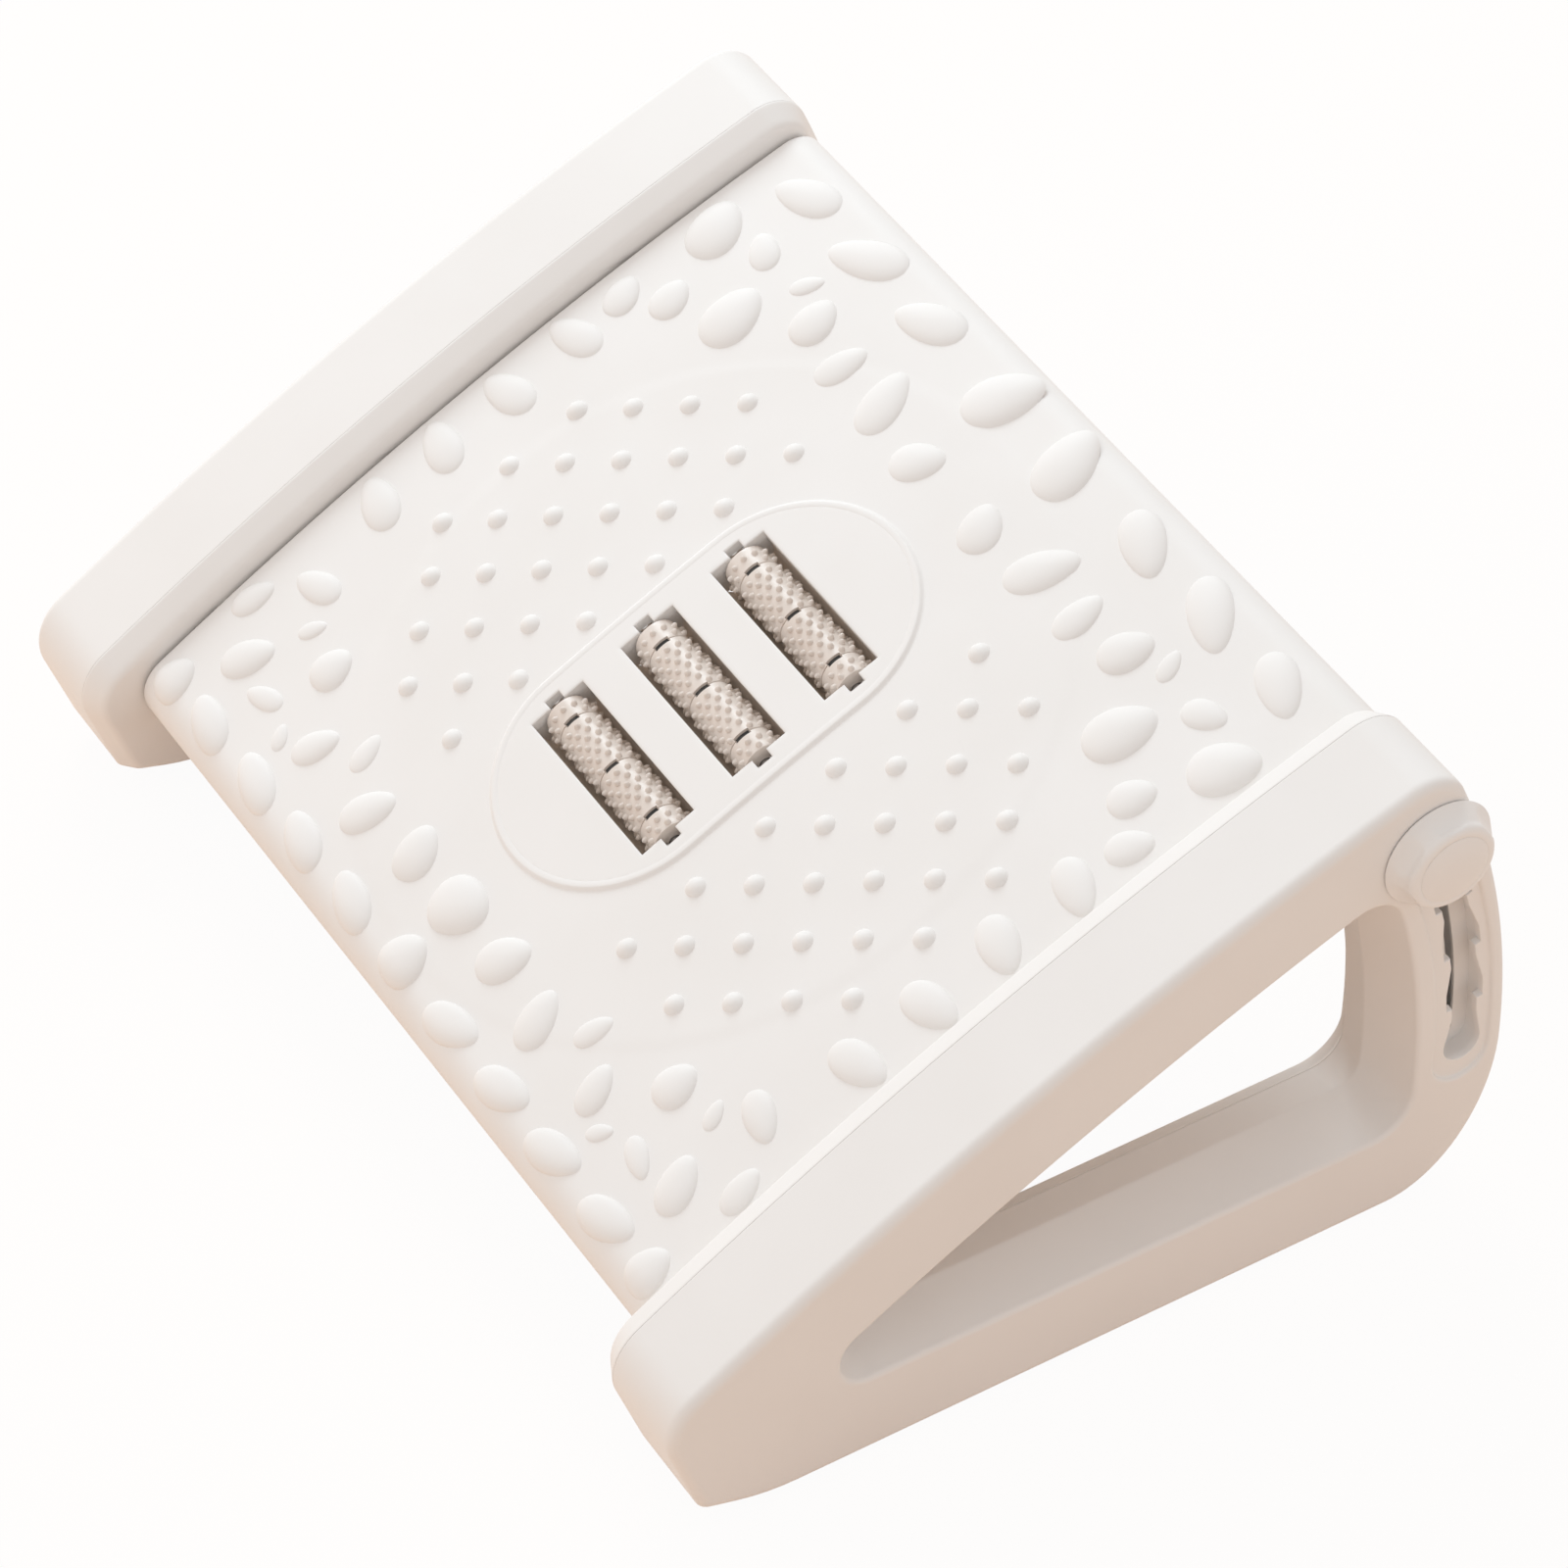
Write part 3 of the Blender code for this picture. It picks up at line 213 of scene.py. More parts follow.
def keepPiece(bm, mesh, name, merge, smooth):
    # Cleans the mesh, smooths it up to an angle and makes it an object
    bmesh.ops.remove_doubles(bm, verts=bm.verts, dist=merge)
    bmesh.ops.recalc_face_normals(bm, faces=bm.faces)
    bm.to_mesh(mesh)
    bm.free()
    mesh.shade_smooth()
    mesh.set_sharp_from_angle(angle=radians(smooth))
    piece = bpy.data.objects.new(name, mesh)
    bpy.context.scene.collection.objects.link(piece)
    return piece


def pieceFrom(bm, name, look, smooth=35):
    mesh = bpy.data.meshes.new(name)
    mesh.materials.append(look)
    return keepPiece(bm, mesh, name, 1e-7, smooth)


def lathe(name, look, centre, profile, count, side=1, smooth=35, wave=None):
    bm = bmesh.new()
    turned(bm, centre, profile, count, side, wave)
    return pieceFrom(bm, name, look, smooth)


def dress(piece, body, slot, *nodes):
    # The solids that a piece stands for and what it moves with. Its slot, the finish that it would take, is
    # not used.
    if nodes:
        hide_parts(*nodes)
    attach(piece, body)


# Node maths, for materials and for Geometry Nodes

def operator(operation, reflected=False):
    def act(self, other=0.0):
        return self.act(operation, other, self) if reflected else self.act(operation, self, other)
    return act


class Maths:
    # A socket whose sums and products become Math nodes

    def __init__(self, graph, socket):
        self.graph = graph
        self.socket = socket

    def act(self, operation, *terms):
        made = self.graph.node("ShaderNodeMath", {"operation": operation})
        for slot, value in zip(made.inputs, terms):
            self.graph.feed(slot, value)
        return self.graph.out(made)

    __add__, __radd__ = operator("ADD"), operator("ADD", True)
    __sub__, __rsub__ = operator("SUBTRACT"), operator("SUBTRACT", True)
    __mul__, __rmul__ = operator("MULTIPLY"), operator("MULTIPLY", True)
    __truediv__, __rtruediv__ = operator("DIVIDE"), operator("DIVIDE", True)
    __pow__, __rpow__ = operator("POWER"), operator("POWER", True)
    __lt__, __gt__ = operator("LESS_THAN"), operator("GREATER_THAN")
    sine, cosine = operator("SINE"), operator("COSINE")
    absolute, root = operator("ABSOLUTE"), operator("SQRT")


class Graph:
    # A node tree with one method for every other node

    def __init__(self, tree):
        self.tree = tree

    def node(self, kind, settings=None, **values):
        made = self.tree.nodes.new(kind)
        for key, value in (settings or {}).items():
            if key == "stops":
                for stop, (place, colour) in zip(made.color_ramp.elements, value):
                    stop.position = place
                    stop.color = (*colour, 1.0)
            else:
                setattr(made, key, value)
        for key, value in values.items():
            self.feed(made.inputs[key.replace("_", " ")], value)
        return made

    def feed(self, slot, value):
        if isinstance(value, Maths):
            self.tree.links.new(value.socket, slot)
        else:
            slot.default_value = value

    def out(self, made, name=0):
        return Maths(self, made.outputs[name])

    def given(self, label):
        # An input of a modifier tree
        return self.out(self.source, label)


# Finishes. Stops are places on a ramp, and a spread is how far the roughness varies.

plastic = {
    "stops": (0.35, 0.62),
    "spread": 0.08,
    "mottle": (14, 3.0),
    "grain": (1400, 2.0),
    "grainDepth": 0.00002,
    "wave": (60, 1.0),
    "waveDepth": 0.00006,
    "bump": 0.6,
}
steel = {
    "stops": ((0.3, (0.46, 0.46, 0.47)), (0.7, (0.62, 0.61, 0.60))),
    "stretch": (40, 2600, 2600),
    "detail": 4.0,
    "roughness": 0.22,
    "spread": 0.2,
    "lineDepth": 0.00001,
    "bump": 0.5,
}
# Dark rubber for the pads. The same dark also paints the shade seen down the rollers' slits, on rings between
# the drums
rubber = {
    "stops": ((0.4, (0.045, 0.045, 0.045)), (0.8, (0.13, 0.125, 0.12))),
    "dust": (260.0, 5.0),
    "roughness": 0.7,
    "spread": 0.2,
    "dustDepth": 0.00008,
    "bump": 0.7,
}
white = ((0.850, 0.829, 0.808), (0.868, 0.850, 0.832))
# Painted warm shade: a warmer white for the roller troughs that stands in for the warm shade inside them
paintedWarmShade = ((0.85, 0.74, 0.63), (0.89, 0.79, 0.69))
cream = ((0.70, 0.615, 0.55), (0.765, 0.69, 0.63))


def startFinish(name):
    made = bpy.data.materials.new(name)
    made.use_nodes = True
    graph = Graph(made.node_tree)
    return made, graph, graph.out(graph.node("ShaderNodeTexCoord"), "Object")


def noise(graph, place, scale, detail):
    return graph.out(graph.node("ShaderNodeTexNoise", Vector=place, Scale=scale, Detail=detail), "Fac")


def endFinish(made, graph, pattern, stops, roughness, height, strength):
    # Joins the patterns to the shader, and gives the shader back
    shader = made.node_tree.nodes["Principled BSDF"]
    ramp = graph.node("ShaderNodeValToRGB", {"stops": stops}, Fac=pattern)
    bump = graph.node("ShaderNodeBump", Height=height, Distance=1.0, Strength=strength)
    graph.feed(shader.inputs["Base Color"], graph.out(ramp, "Color"))
    graph.feed(shader.inputs["Roughness"], roughness)
    graph.feed(shader.inputs["Normal"], graph.out(bump, "Normal"))
    return shader


def mouldedPlastic(name, colours, roughness, shine=0.22):
    p = plastic
    made, graph, place = startFinish(name)
    mottle, grain, wave = (noise(graph, place, *p[kind]) for kind in ("mottle", "grain", "wave"))
    shader = endFinish(made, graph, mottle, tuple(zip(p["stops"], colours)),
                       roughness - p["spread"] / 2 + p["spread"] * grain,
                       grain * p["grainDepth"] + wave * p["waveDepth"], p["bump"])
    shader.inputs["Specular IOR Level"].default_value = shine
    return made


def drawnSteel(name):
    made, graph, place = startFinish(name)
    stretched = graph.out(graph.node("ShaderNodeMapping", Vector=place, Scale=steel["stretch"]), "Vector")
    lines = noise(graph, stretched, 1.0, steel["detail"])
    shader = endFinish(made, graph, lines, steel["stops"], steel["roughness"] + steel["spread"] * lines,
                       lines * steel["lineDepth"], steel["bump"])
    shader.inputs["Metallic"].default_value = 1.0
    return made


def softRubber(name):
    made, graph, place = startFinish(name)
    dust = noise(graph, place, *rubber["dust"])
    endFinish(made, graph, dust, rubber["stops"], rubber["roughness"] + rubber["spread"] * dust,
              dust * rubber["dustDepth"], rubber["bump"])
    return made


shellWhite = mouldedPlastic("shell_white", white, 0.56)
plateWhite = mouldedPlastic("plate_white", white, 0.55)
# The troughs' finish paints in the warm shade seen inside them
troughPaintedShade = mouldedPlastic("trough_painted_shade", paintedWarmShade, 0.6)
knobWhite = mouldedPlastic("knob_white", white, 0.42, 0.45)
capWhite = mouldedPlastic("cap_white", ((0.84, 0.82, 0.795), (0.86, 0.84, 0.82)), 0.45, 0.4)
rollerCream = mouldedPlastic("roller_cream", cream, 0.32, 0.55)
nylonWhite = mouldedPlastic("nylon_white", ((0.76, 0.745, 0.69), (0.80, 0.79, 0.74)), 0.35)
steelBright = drawnSteel("steel_bright")
rubberAndSlitShade = softRubber("rubber_and_slit_shade")
print("finishes made")


# Geometry Nodes helpers. A tree's inputs have the names of the values in a piece's dictionary.

def nodeTree(name, counts, sizes):
    tree = bpy.data.node_groups.new(name, "GeometryNodeTree")
    for label, kind, way in (
        ("Geometry", "Geometry", "INPUT"),
        *((label, "Int", "INPUT") for label in counts),
        *((label, "Float", "INPUT") for label in sizes),
        ("Geometry", "Geometry", "OUTPUT"),
    ):
        tree.interface.new_socket(label, in_out=way, socket_type="NodeSocket" + kind)
    graph = Graph(tree)
    graph.source = graph.node("NodeGroupInput")
    return graph


def position(graph):
    place = graph.node("ShaderNodeSeparateXYZ", Vector=graph.out(graph.node("GeometryNodeInputPosition")))
    return [graph.out(place, label) for label in ("X", "Y", "Z")]


def roundGrid(graph, rows, columns):
    # A flat grid to roll up: its rows give a share from 0 to 1, its columns an angle
    grid = graph.node("GeometryNodeMeshGrid", Size_X=1.0, Size_Y=1.0, Vertices_X=rows, Vertices_Y=columns)
    x, y, _ = position(graph)
    return graph.out(grid), x + 0.5, (y + 0.5) * (2 * pi)


def moved(graph, geometry, x, y, z):
    place = graph.out(graph.node("ShaderNodeCombineXYZ", X=x, Y=y, Z=z))
    return graph.out(graph.node("GeometryNodeSetPosition", Geometry=geometry, Position=place))


def rolled(graph, grid, radius, turn, height, bulge=1.0):
    # The grid rolled up round its middle, with its width multiplied by the bulge
    return moved(graph, grid, radius * turn.cosine(), radius * turn.sine() * bulge, height)


def attribute(graph, name, kind="FLOAT_VECTOR"):
    return graph.out(graph.node("GeometryNodeInputNamedAttribute", {"data_type": kind}, Name=name))


def copied(graph, shape, **values):
    points = graph.given("Geometry")
    return graph.out(graph.node("GeometryNodeInstanceOnPoints", Points=points, Instance=shape, **values))


def copiedOutward(graph, shape):
    # A copy on each point, with its axis along the point's own direction
    aim = graph.node("FunctionNodeAlignRotationToVector", {"axis": "Z"}, Vector=attribute(graph, "outward"))
    return copied(graph, shape, Rotation=graph.out(aim))


def endTree(graph, geometry, look):
    real = graph.node("GeometryNodeRealizeInstances", Geometry=geometry)
    dressed = graph.node("GeometryNodeSetMaterial", Geometry=graph.out(real), Material=look)
    graph.feed(graph.node("NodeGroupOutput").inputs[0], graph.out(dressed))
    return graph.tree


def growCopies(name, tree, points, attributes, values):
    # Runs a tree on bare points and keeps the result as one plain mesh
    holder = bpy.data.objects.new(name + "_points", bpy.data.meshes.new(name + "_points"))
    holder.data.from_pydata(points, [], [])
    for label, rows in attributes.items():
        single = isinstance(rows[0], float)
        layer = holder.data.attributes.new(label, "FLOAT" if single else "FLOAT_VECTOR", "POINT")
        parts = rows if single else [part for row in rows for part in row]
        layer.data.foreach_set("value" if single else "vector", parts)
    bpy.context.scene.collection.objects.link(holder)
    grow = holder.modifiers.new("grow", "NODES")
    grow.node_group = tree
    for item in tree.interface.items_tree:
        if item.name in values:
            grow[item.identifier] = values[item.name]
    holder.update_tag()
    mesh = bpy.data.meshes.new_from_object(holder.evaluated_get(bpy.context.evaluated_depsgraph_get()))
    bpy.data.objects.remove(holder)
    mesh.name = name
    bm = bmesh.new()
    bm.from_mesh(mesh)
    return keepPiece(bm, mesh, name, 1e-6, 40)


# Side frames

sideFrame = {
    "bandRise": 0.0112,
    "bandDepth": 0.037,
    "sillHeight": 0.0385,
    "noseRadius": 0.022,
    "crownRadius": 0.017,
    "legRadius": 0.330,
    "heelLength": 0.045,
    "heelHeight": 0.065,
    "faceLean": radians(19),
    "toeLift": 0.008,
    "toeLength": 0.025,
    "toeSoft": 0.0025,
    "bevelSoft": 0.012,
    "tipRadius": 0.012,
    "heelCornerRadius": 0.016,
    "headCornerRadius": 0.014,
    "wall": 0.003,
    "faceWall": 0.0046,
    "outerRound": 0.004,
    "innerDrop": 0.0062,
    "innerShares": ((0.96, 0.008), (0.92, 0.028), (0.88, 0.056), (0.6, 0.27), (0.3, 0.5), (0.2, 0.58),
                    (0.12, 0.67), (0.06, 0.77), (0.02, 0.89), (0, 1)),
    "rimRound": 0.0022,
    "rimRise": 0.0001,
    "innerRim": 0.006,
    "ridgeShare": 0.5,
    "ridgeStep": 0.006,
    "ridgeBends": ((-0.0012, 0.0004), (-0.0004, 0.0001), (0.0004, 0.0001), (0.0012, 0.0004)),
    "seamStep": 0.0035,
    "seamShare": 0.205,
    "seamLip": 0.00015,
    "lipRise": 0.2,
    "lipFall": 0.4,
    "seamGap": 0.0001,
}
lockSlot = {
    "travel": radians(24),
    "positions": 5,
    "neck": 0.005,
    "seat": 0.0074,
    "seatAbove": 0.001,
    "seatBelow": 0.0071,
    "seatTaper": 0.014,
    "recess": 0.01135,
    "recessShift": -0.00115,
    "recessDepth": 0.0016,
    "recessRound": 0.0013,
    "recessFillet": ((0.0001, -0.0002), (0, -0.0006), (0, -0.0010)),
    "toothRound": 0.0005,
    "toothFlat": 1.4,
    "guideWay": 0.0077,
    "guideWall": 0.0012,
    "guideDepth": 0.0058,
    "pinWay": 0.0017,
}
shellPosts = {
    "sillShares": (0.13, 0.87),
    "archShares": (-0.197, 0.55),
    "headWay": 0.0042,
    "headWayDepth": 0.0045,
    "screwWay": 0.0021,
    "postRadius": 0.0065,
    "postSink": 0.0015,
    "postFit": 0.00005,
    "rodWay": 0.0043,
    "rodBoss": 0.009,
    "pinWay": 0.005,
    "holeSoft": 0.0003,
    "sides": 20,
    "rodSides": 24,
}
bandWidth = faceX - innerX
topRadius = arch["radius"] + sideFrame["bandRise"]
legCentre = (rearY - sideFrame["legRadius"], sideFrame["heelHeight"])


def softCorner(before, point, after, reach, count):
    # A corner of an outline drawn as a short curve that leaves it a given reach before and after
    shareA = reach / dist(before, point)
    shareB = reach / dist(after, point)
    start = [point[k] + (before[k] - point[k]) * shareA for k in (0, 1)]
    end = [point[k] + (after[k] - point[k]) * shareB for k in (0, 1)]
    points = []
    for i in range(count + 1):
        t = i / count
        a, b, c = (1 - t) ** 2, 2 * t * (1 - t), t * t
        points.append(tuple(start[k] * a + point[k] * b + end[k] * c for k in (0, 1)))
    return points


def frameOutline(inset):
    f = sideFrame
    noseY = frontY + f["noseRadius"]
    noseZ = archCentre[1] + sqrt((topRadius - f["noseRadius"]) ** 2 - (noseY - archCentre[0]) ** 2)
    nose = (noseY, noseZ)
    crown = meet(archCentre, topRadius - f["crownRadius"], legCentre, f["legRadius"] - f["crownRadius"])
    crownLow = bearing(legCentre, crown)
    crownHigh = bearing(archCentre, crown)
    noseHigh = bearing(archCentre, nose)
    noseLow = pi + f["faceLean"]
    faceHeading = noseLow + pi / 2
    toe = cross(along(nose, f["noseRadius"], noseLow), faceHeading, (0, baseZ + f["toeLift"]), 0)
    bevelHeading = bearing(toe, (toe[0] + f["toeLength"], baseZ))
    bevelStart = along(toe, inset, bevelHeading + pi / 2)
    foot = cross(bevelStart, bevelHeading, (0, baseZ + inset), 0)
    heelY = rearY - f["heelLength"]
    points = softCorner(bevelStart, foot, (heelY, baseZ + inset), f["bevelSoft"], 4)
    for y, z in arc((0, 0), 1, -pi / 2, 0, 21)[:-1]:
        up = (f["heelHeight"] - baseZ - inset) * z
        points.append((heelY + (f["heelLength"] - inset) * y, f["heelHeight"] + up))
    points += arc(legCentre, f["legRadius"] - inset, 0, crownLow, 20)
    points += arc(crown, f["crownRadius"] - inset, crownLow, crownHigh, 16)[1:]
    points += arc(archCentre, topRadius - inset, crownHigh, noseHigh, 40)[1:]
    points += arc(nose, f["noseRadius"] - inset, noseHigh, noseLow, 16)[1:]
    tip = cross(along(nose, f["noseRadius"] - inset, noseLow), faceHeading, bevelStart, bevelHeading)
    return points + softCorner(points[-1], tip, points[0], f["toeSoft"], 5)


def openingOutline(inset):
    f = sideFrame
    roof = topRadius - f["bandDepth"]
    back = f["legRadius"] - f["bandDepth"]
    tipZ = f["sillHeight"] + f["tipRadius"]
    tip = (archCentre[0] - sqrt((roof - f["tipRadius"]) ** 2 - (tipZ - archCentre[1]) ** 2), tipZ)
    cornerZ = f["sillHeight"] + f["heelCornerRadius"]
    reach = back - f["heelCornerRadius"]
    heelCorner = (legCentre[0] + sqrt(reach ** 2 - (cornerZ - legCentre[1]) ** 2), cornerZ)
    head = meet(archCentre, roof - f["headCornerRadius"], legCentre, back - f["headCornerRadius"])
    cornerEnd = bearing(legCentre, heelCorner)
    headStart = bearing(legCentre, head)
    headEnd = bearing(archCentre, head)
    tipStart = bearing(archCentre, tip)
    points = arc(tip, f["tipRadius"] - inset, tipStart, 3 * pi / 2, 16)
    points += arc(heelCorner, f["heelCornerRadius"] - inset, -pi / 2, cornerEnd, 14)
    points += arc(legCentre, back - inset, cornerEnd, headStart, 14)[1:]
    points += arc(head, f["headCornerRadius"] - inset, headStart, headEnd, 14)[1:]
    return points + arc(archCentre, roof - inset, headEnd, tipStart, 26)[1:-1]


def lockPoint(angleDown, offset):
    return along(pivot, lockRadius + offset, lockAngle - angleDown)


def slotOutline(halfWidth, end=lockSlot["travel"], shift=0.0):
    # A slot with round ends along the lock pin's path, or beside it
    low = lockAngle - end
    path = [end * i / 30 for i in range(31)]
    points = [lockPoint(angle, shift + halfWidth) for angle in path]
    points += arc(lockPoint(end, shift), halfWidth, low, low - pi, 18)[1:-1]
    points += [lockPoint(angle, shift - halfWidth) for angle in reversed(path)]
    return points + arc(lockPoint(0, shift), halfWidth, lockAngle + pi, lockAngle, 18)[1:-1]


def recessOutline(grow):
    low = lockSlot["travel"] + lockSlot["seatBelow"] / 2 / lockRadius
    return slotOutline(lockSlot["recess"] + grow, low, lockSlot["recessShift"])


def toothedOutline():
    # Both edges of the toothed slot and its round ends. Each seat widens downwards and ends in a ledge.
    t = lockSlot
    last = t["positions"] - 1
    stations = []
    for k in range(t["positions"]):
        centre = k * t["travel"] / last
        if k > 0:
            stations.append((centre - t["seatTaper"] / lockRadius, t["neck"]))
        stations.append((centre - t["seatAbove"] / lockRadius, t["seat"]))
        if k < last:
            stations.append((centre + t["seatBelow"] / lockRadius, t["seat"]))
            stations.append((centre + (t["seatBelow"] + gap) / lockRadius, t["neck"]))
    stations.append((t["travel"], t["seat"]))
    low = lockAngle - t["travel"]
    points = [lockPoint(angle, offset) for angle, offset in stations]
    points += arc(lockPoint(t["travel"], 0), t["seat"], low, low - pi, 16)[1:-1]
    points += [lockPoint(angle, -offset) for angle, offset in reversed(stations)]
    return points + arc(lockPoint(0, 0), t["seat"], lockAngle + pi, lockAngle, 12)[1:-1]


def grown(points, distance):
    # A closed outline moved outwards, for small moves only. Sharp corners move less than a mitre would.
    leastSpread = 0.4
    after = points[1:] + points[:1]
    area = sum(a[0] * b[1] - b[0] * a[1] for a, b in zip(points, after))
    turn = pi / 2 if area > 0 else -pi / 2
    made = []
    for a, b, c in zip(points[-1:] + points[:-1], points, after):
        first = bearing(a, b) - turn
        second = bearing(b, c) - turn
        middle = atan2(sin(first) + sin(second), cos(first) + cos(second))
        made.append(along(b, distance / max(leastSpread, cos((first - second) / 2)), middle))
    return made


def loft(bm, side, outline, rings):
    # Walls through an outline drawn at each x with its own inset
    loops = [ringAt(bm, side * x, outline(inset)) for x, inset in rings]
    bridgeAll(bm, loops)
    return loops


def shellWalls(bm, side, *sections):
    # The outline and the open triangle of a half frame, and the hollow behind both
    outlines = (frameOutline, openingOutline, frameOutline, openingOutline)
    walls = [loft(bm, side, outline, rings) for outline, rings in zip(outlines, sections)]
    bridge(bm, walls[0][0], walls[2][0])
    bridge(bm, walls[1][0], walls[3][0])
    return [loops[-1] for loops in walls]


def outerShell(name, side):
    f, t = sideFrame, lockSlot
    seam = innerX + bandWidth * f["seamShare"] + f["seamGap"] / 2
    ridge = innerX + bandWidth * f["ridgeShare"]
    floor = faceX - f["faceWall"]
    lip, soft, rim = f["seamLip"], f["outerRound"], f["rimRound"]
    outer = [(seam, lip), (seam + lip * bend, lip * bend), (seam + lip, 0), (seam + lip + support, 0)]
    outer += [(faceX - soft - support, 0), *((faceX - soft * a, soft * b) for a, b in quarter(8))]
    outer.append((faceX, soft + support))
    opening = [(seam, f["seamStep"] - lip), (seam + lip, f["seamStep"] + lip * f["lipRise"])]
    opening += [(ridge + x, f["ridgeStep"] - drop) for x, drop in f["ridgeBends"]]
    opening += [(faceX - rim - support, f["rimRise"]), *((faceX - rim * a, -rim * b) for a, b in quarter(5))]
    opening.append((faceX, -rim - support))
    cavity = [(seam, f["wall"]), (floor, f["wall"])]
    lining = [(seam, f["seamStep"] - f["wall"]), (ridge, f["ridgeStep"] - f["wall"]), (floor, -f["wall"])]
    bm = bmesh.new()
    outerEnd, openingEnd, cavityEnd, liningEnd = shellWalls(bm, side, outer, opening, cavity, lining)

    # The recess round the lock slot, with a soft edge and a fillet at its floor, and the teeth
    deep = faceX - t["recessDepth"]
    edge, tooth = t["recessRound"], t["toothRound"]
    rings = [(faceX, edge + support), *((faceX - edge * b, edge * a) for a, b in quarter(4))]
    rings += [(deep + x, inset) for x, inset in t["recessFillet"]]
    recess = loft(bm, side, recessOutline, rings)
    base = toothedOutline()
    rings = [(deep, tooth * t["toothFlat"]), (deep, tooth), (deep - tooth * bend, tooth * bend)]
    teeth = loft(bm, side, lambda grow: grown(base, grow), rings + [(deep - tooth, 0), (floor, 0)])
    fillFlat(bm, outerEnd, openingEnd, recess[0])
    fillFlat(bm, recess[-1], teeth[0])
    fillFlat(bm, cavityEnd, liningEnd, teeth[-1])

    # The guide behind the teeth that the pin's collar runs in
    way, wall = t["guideWay"], t["guideWall"]
    back = floor - t["guideDepth"]
    rings = [(floor + gap, way + wall), (back - wall, way + wall), (back - wall, t["pinWay"])]
    rings += [(back, t["pinWay"]), (back, way), (floor + gap, way)]
    guide = loft(bm, side, slotOutline, rings)
    bridge(bm, guide[-1], guide[0])
    return pieceFrom(bm, name, shellWhite)


def postPlaces():
    places = []
    for share in shellPosts["sillShares"]:
        places.append((frontY + (rearY - frontY) * share, (baseZ + sideFrame["sillHeight"]) / 2))
    for share in shellPosts["archShares"]:
        s = share * (rearReach if share > 0 else frontReach)
        places.append(skin(s, sideFrame["bandRise"] - sideFrame["bandDepth"] / 2))
    return places


def innerShell(name, side):
    f, p = sideFrame, shellPosts
    seam = innerX + bandWidth * f["seamShare"] - f["seamGap"] / 2
    floor = innerX + f["wall"]
    lip, drop, rim = f["seamLip"], f["innerDrop"], f["innerRim"]
    outer = [(seam, lip), (seam - lip * bend, lip * bend), (seam - lip, 0)]
    outer += [(innerX + (seam - lip - innerX) * share, drop * fall) for share, fall in f["innerShares"]]
    outer.append((innerX, drop + support))
    opening = [(seam, f["seamStep"] - lip), (seam - lip, f["seamStep"] - lip * f["lipFall"])]
    opening.append((innerX + rim + support, f["rimRise"]))
    opening += [(innerX + rim * a, -rim * b) for a, b in quarter(9)] + [(innerX, -rim - support)]
    cavity = [(seam, f["wall"]), (floor, f["wall"] + drop / 2)]
    lining = [(seam, f["seamStep"] - f["wall"]), (floor, -f["wall"] - rim / 2)]
    bm = bmesh.new()
    outerEnd, openingEnd, cavityEnd, liningEnd = shellWalls(bm, side, outer, opening, cavity, lining)
    holes = [arc(place, p["headWay"], 0, 2 * pi, p["sides"])[:-1] for place in postPlaces()]
    holes += [arc(pivot, p["rodWay"], 0, 2 * pi, p["rodSides"])[:-1], slotOutline(p["pinWay"])]
    rings = [(innerX, p["holeSoft"]), (innerX + p["holeSoft"], 0), (floor, 0)]
    ways = [loft(bm, side, lambda grow: grown(points, grow), rings) for points in holes]
    fillFlat(bm, outerEnd, openingEnd, *(way[0] for way in ways))
    fillFlat(bm, cavityEnd, liningEnd, *(way[-1] for way in ways))
    start = floor - p["postSink"]
    seat = innerX + p["headWayDepth"]
    tight = p["headWay"] - p["postFit"]
    post = [(start, tight), (seat, tight), (seat, p["screwWay"]), (seam, p["screwWay"])]
    post += [(seam, p["postRadius"]), (start, p["postRadius"])]
    for place in postPlaces():
        turned(bm, place, post, p["sides"], side)
    tight = p["rodWay"] - p["postFit"]
    post = [(start, tight), (seam, tight), (seam, p["rodBoss"]), (start, p["rodBoss"])]
    turned(bm, pivot, post, p["rodSides"], side)
    return pieceFrom(bm, name, shellWhite)


for word, side in bothSides:
    dress(outerShell(word + "_frame_outside", side), "side_frames", "white_plastic", word + "_outer_shell")
    dress(innerShell(word + "_frame_inside", side), "side_frames", "white_plastic", word + "_inner_shell")
print("side frames made")


# Footplate

footplate = {
    "wall": 0.0032,
    "cheekWall": 0.0034,
    "sideRound": 0.0015,
    "lipTurn": radians(132),
    "noseTurn": radians(178),
    "cheekDepth": 0.020,
    "tailDepth": 0.033,
    "tailLength": 0.030,
    "tailSlope": 0.022,
    "ribThickness": 0.0022,
    "ribDepth": 0.014,
    "ribSink": 0.7,
    "ribPast": 0.7,
    "crossRibDepth": 0.010,
    "ribShares": (-0.66, -0.32, 0.32, 0.66),
    "crossRibShare": 0.62,
    "coarse": 0.0026,
    "fine": 0.0013,
    "fineMargin": 0.003,
    "rollStep": 0.0021,
    "skirtStep": 0.006,
}
rollerField = {
    "slotLength": 0.0755,
    "slotWidth": 0.0236,
    "slotSpacing": 0.041,
    "axleDrop": 0.0065,
    "notchWidth": 0.0064,
    "notchLeft": 0.0038,
    "notchRight": 0.0044,
    "radius": 0.049,
    "straight": 0.077,
    "rise": 0.0011,
    "edge": 0.0018,
    "edgeLift": 0.00006,
    "edgeCover": 0.0034,
    "coverLift": 0.00004,
    "coverSlope": 0.0006,
    "edgeShare": 0.65,
    "rimDrop": 0.00035,
    "rimWidth": 0.0007,
    "rimShares": (0, 0.4, 1),
    "outerRimWidth": 0.45,
    "outerRimDrop": 0.25,
}
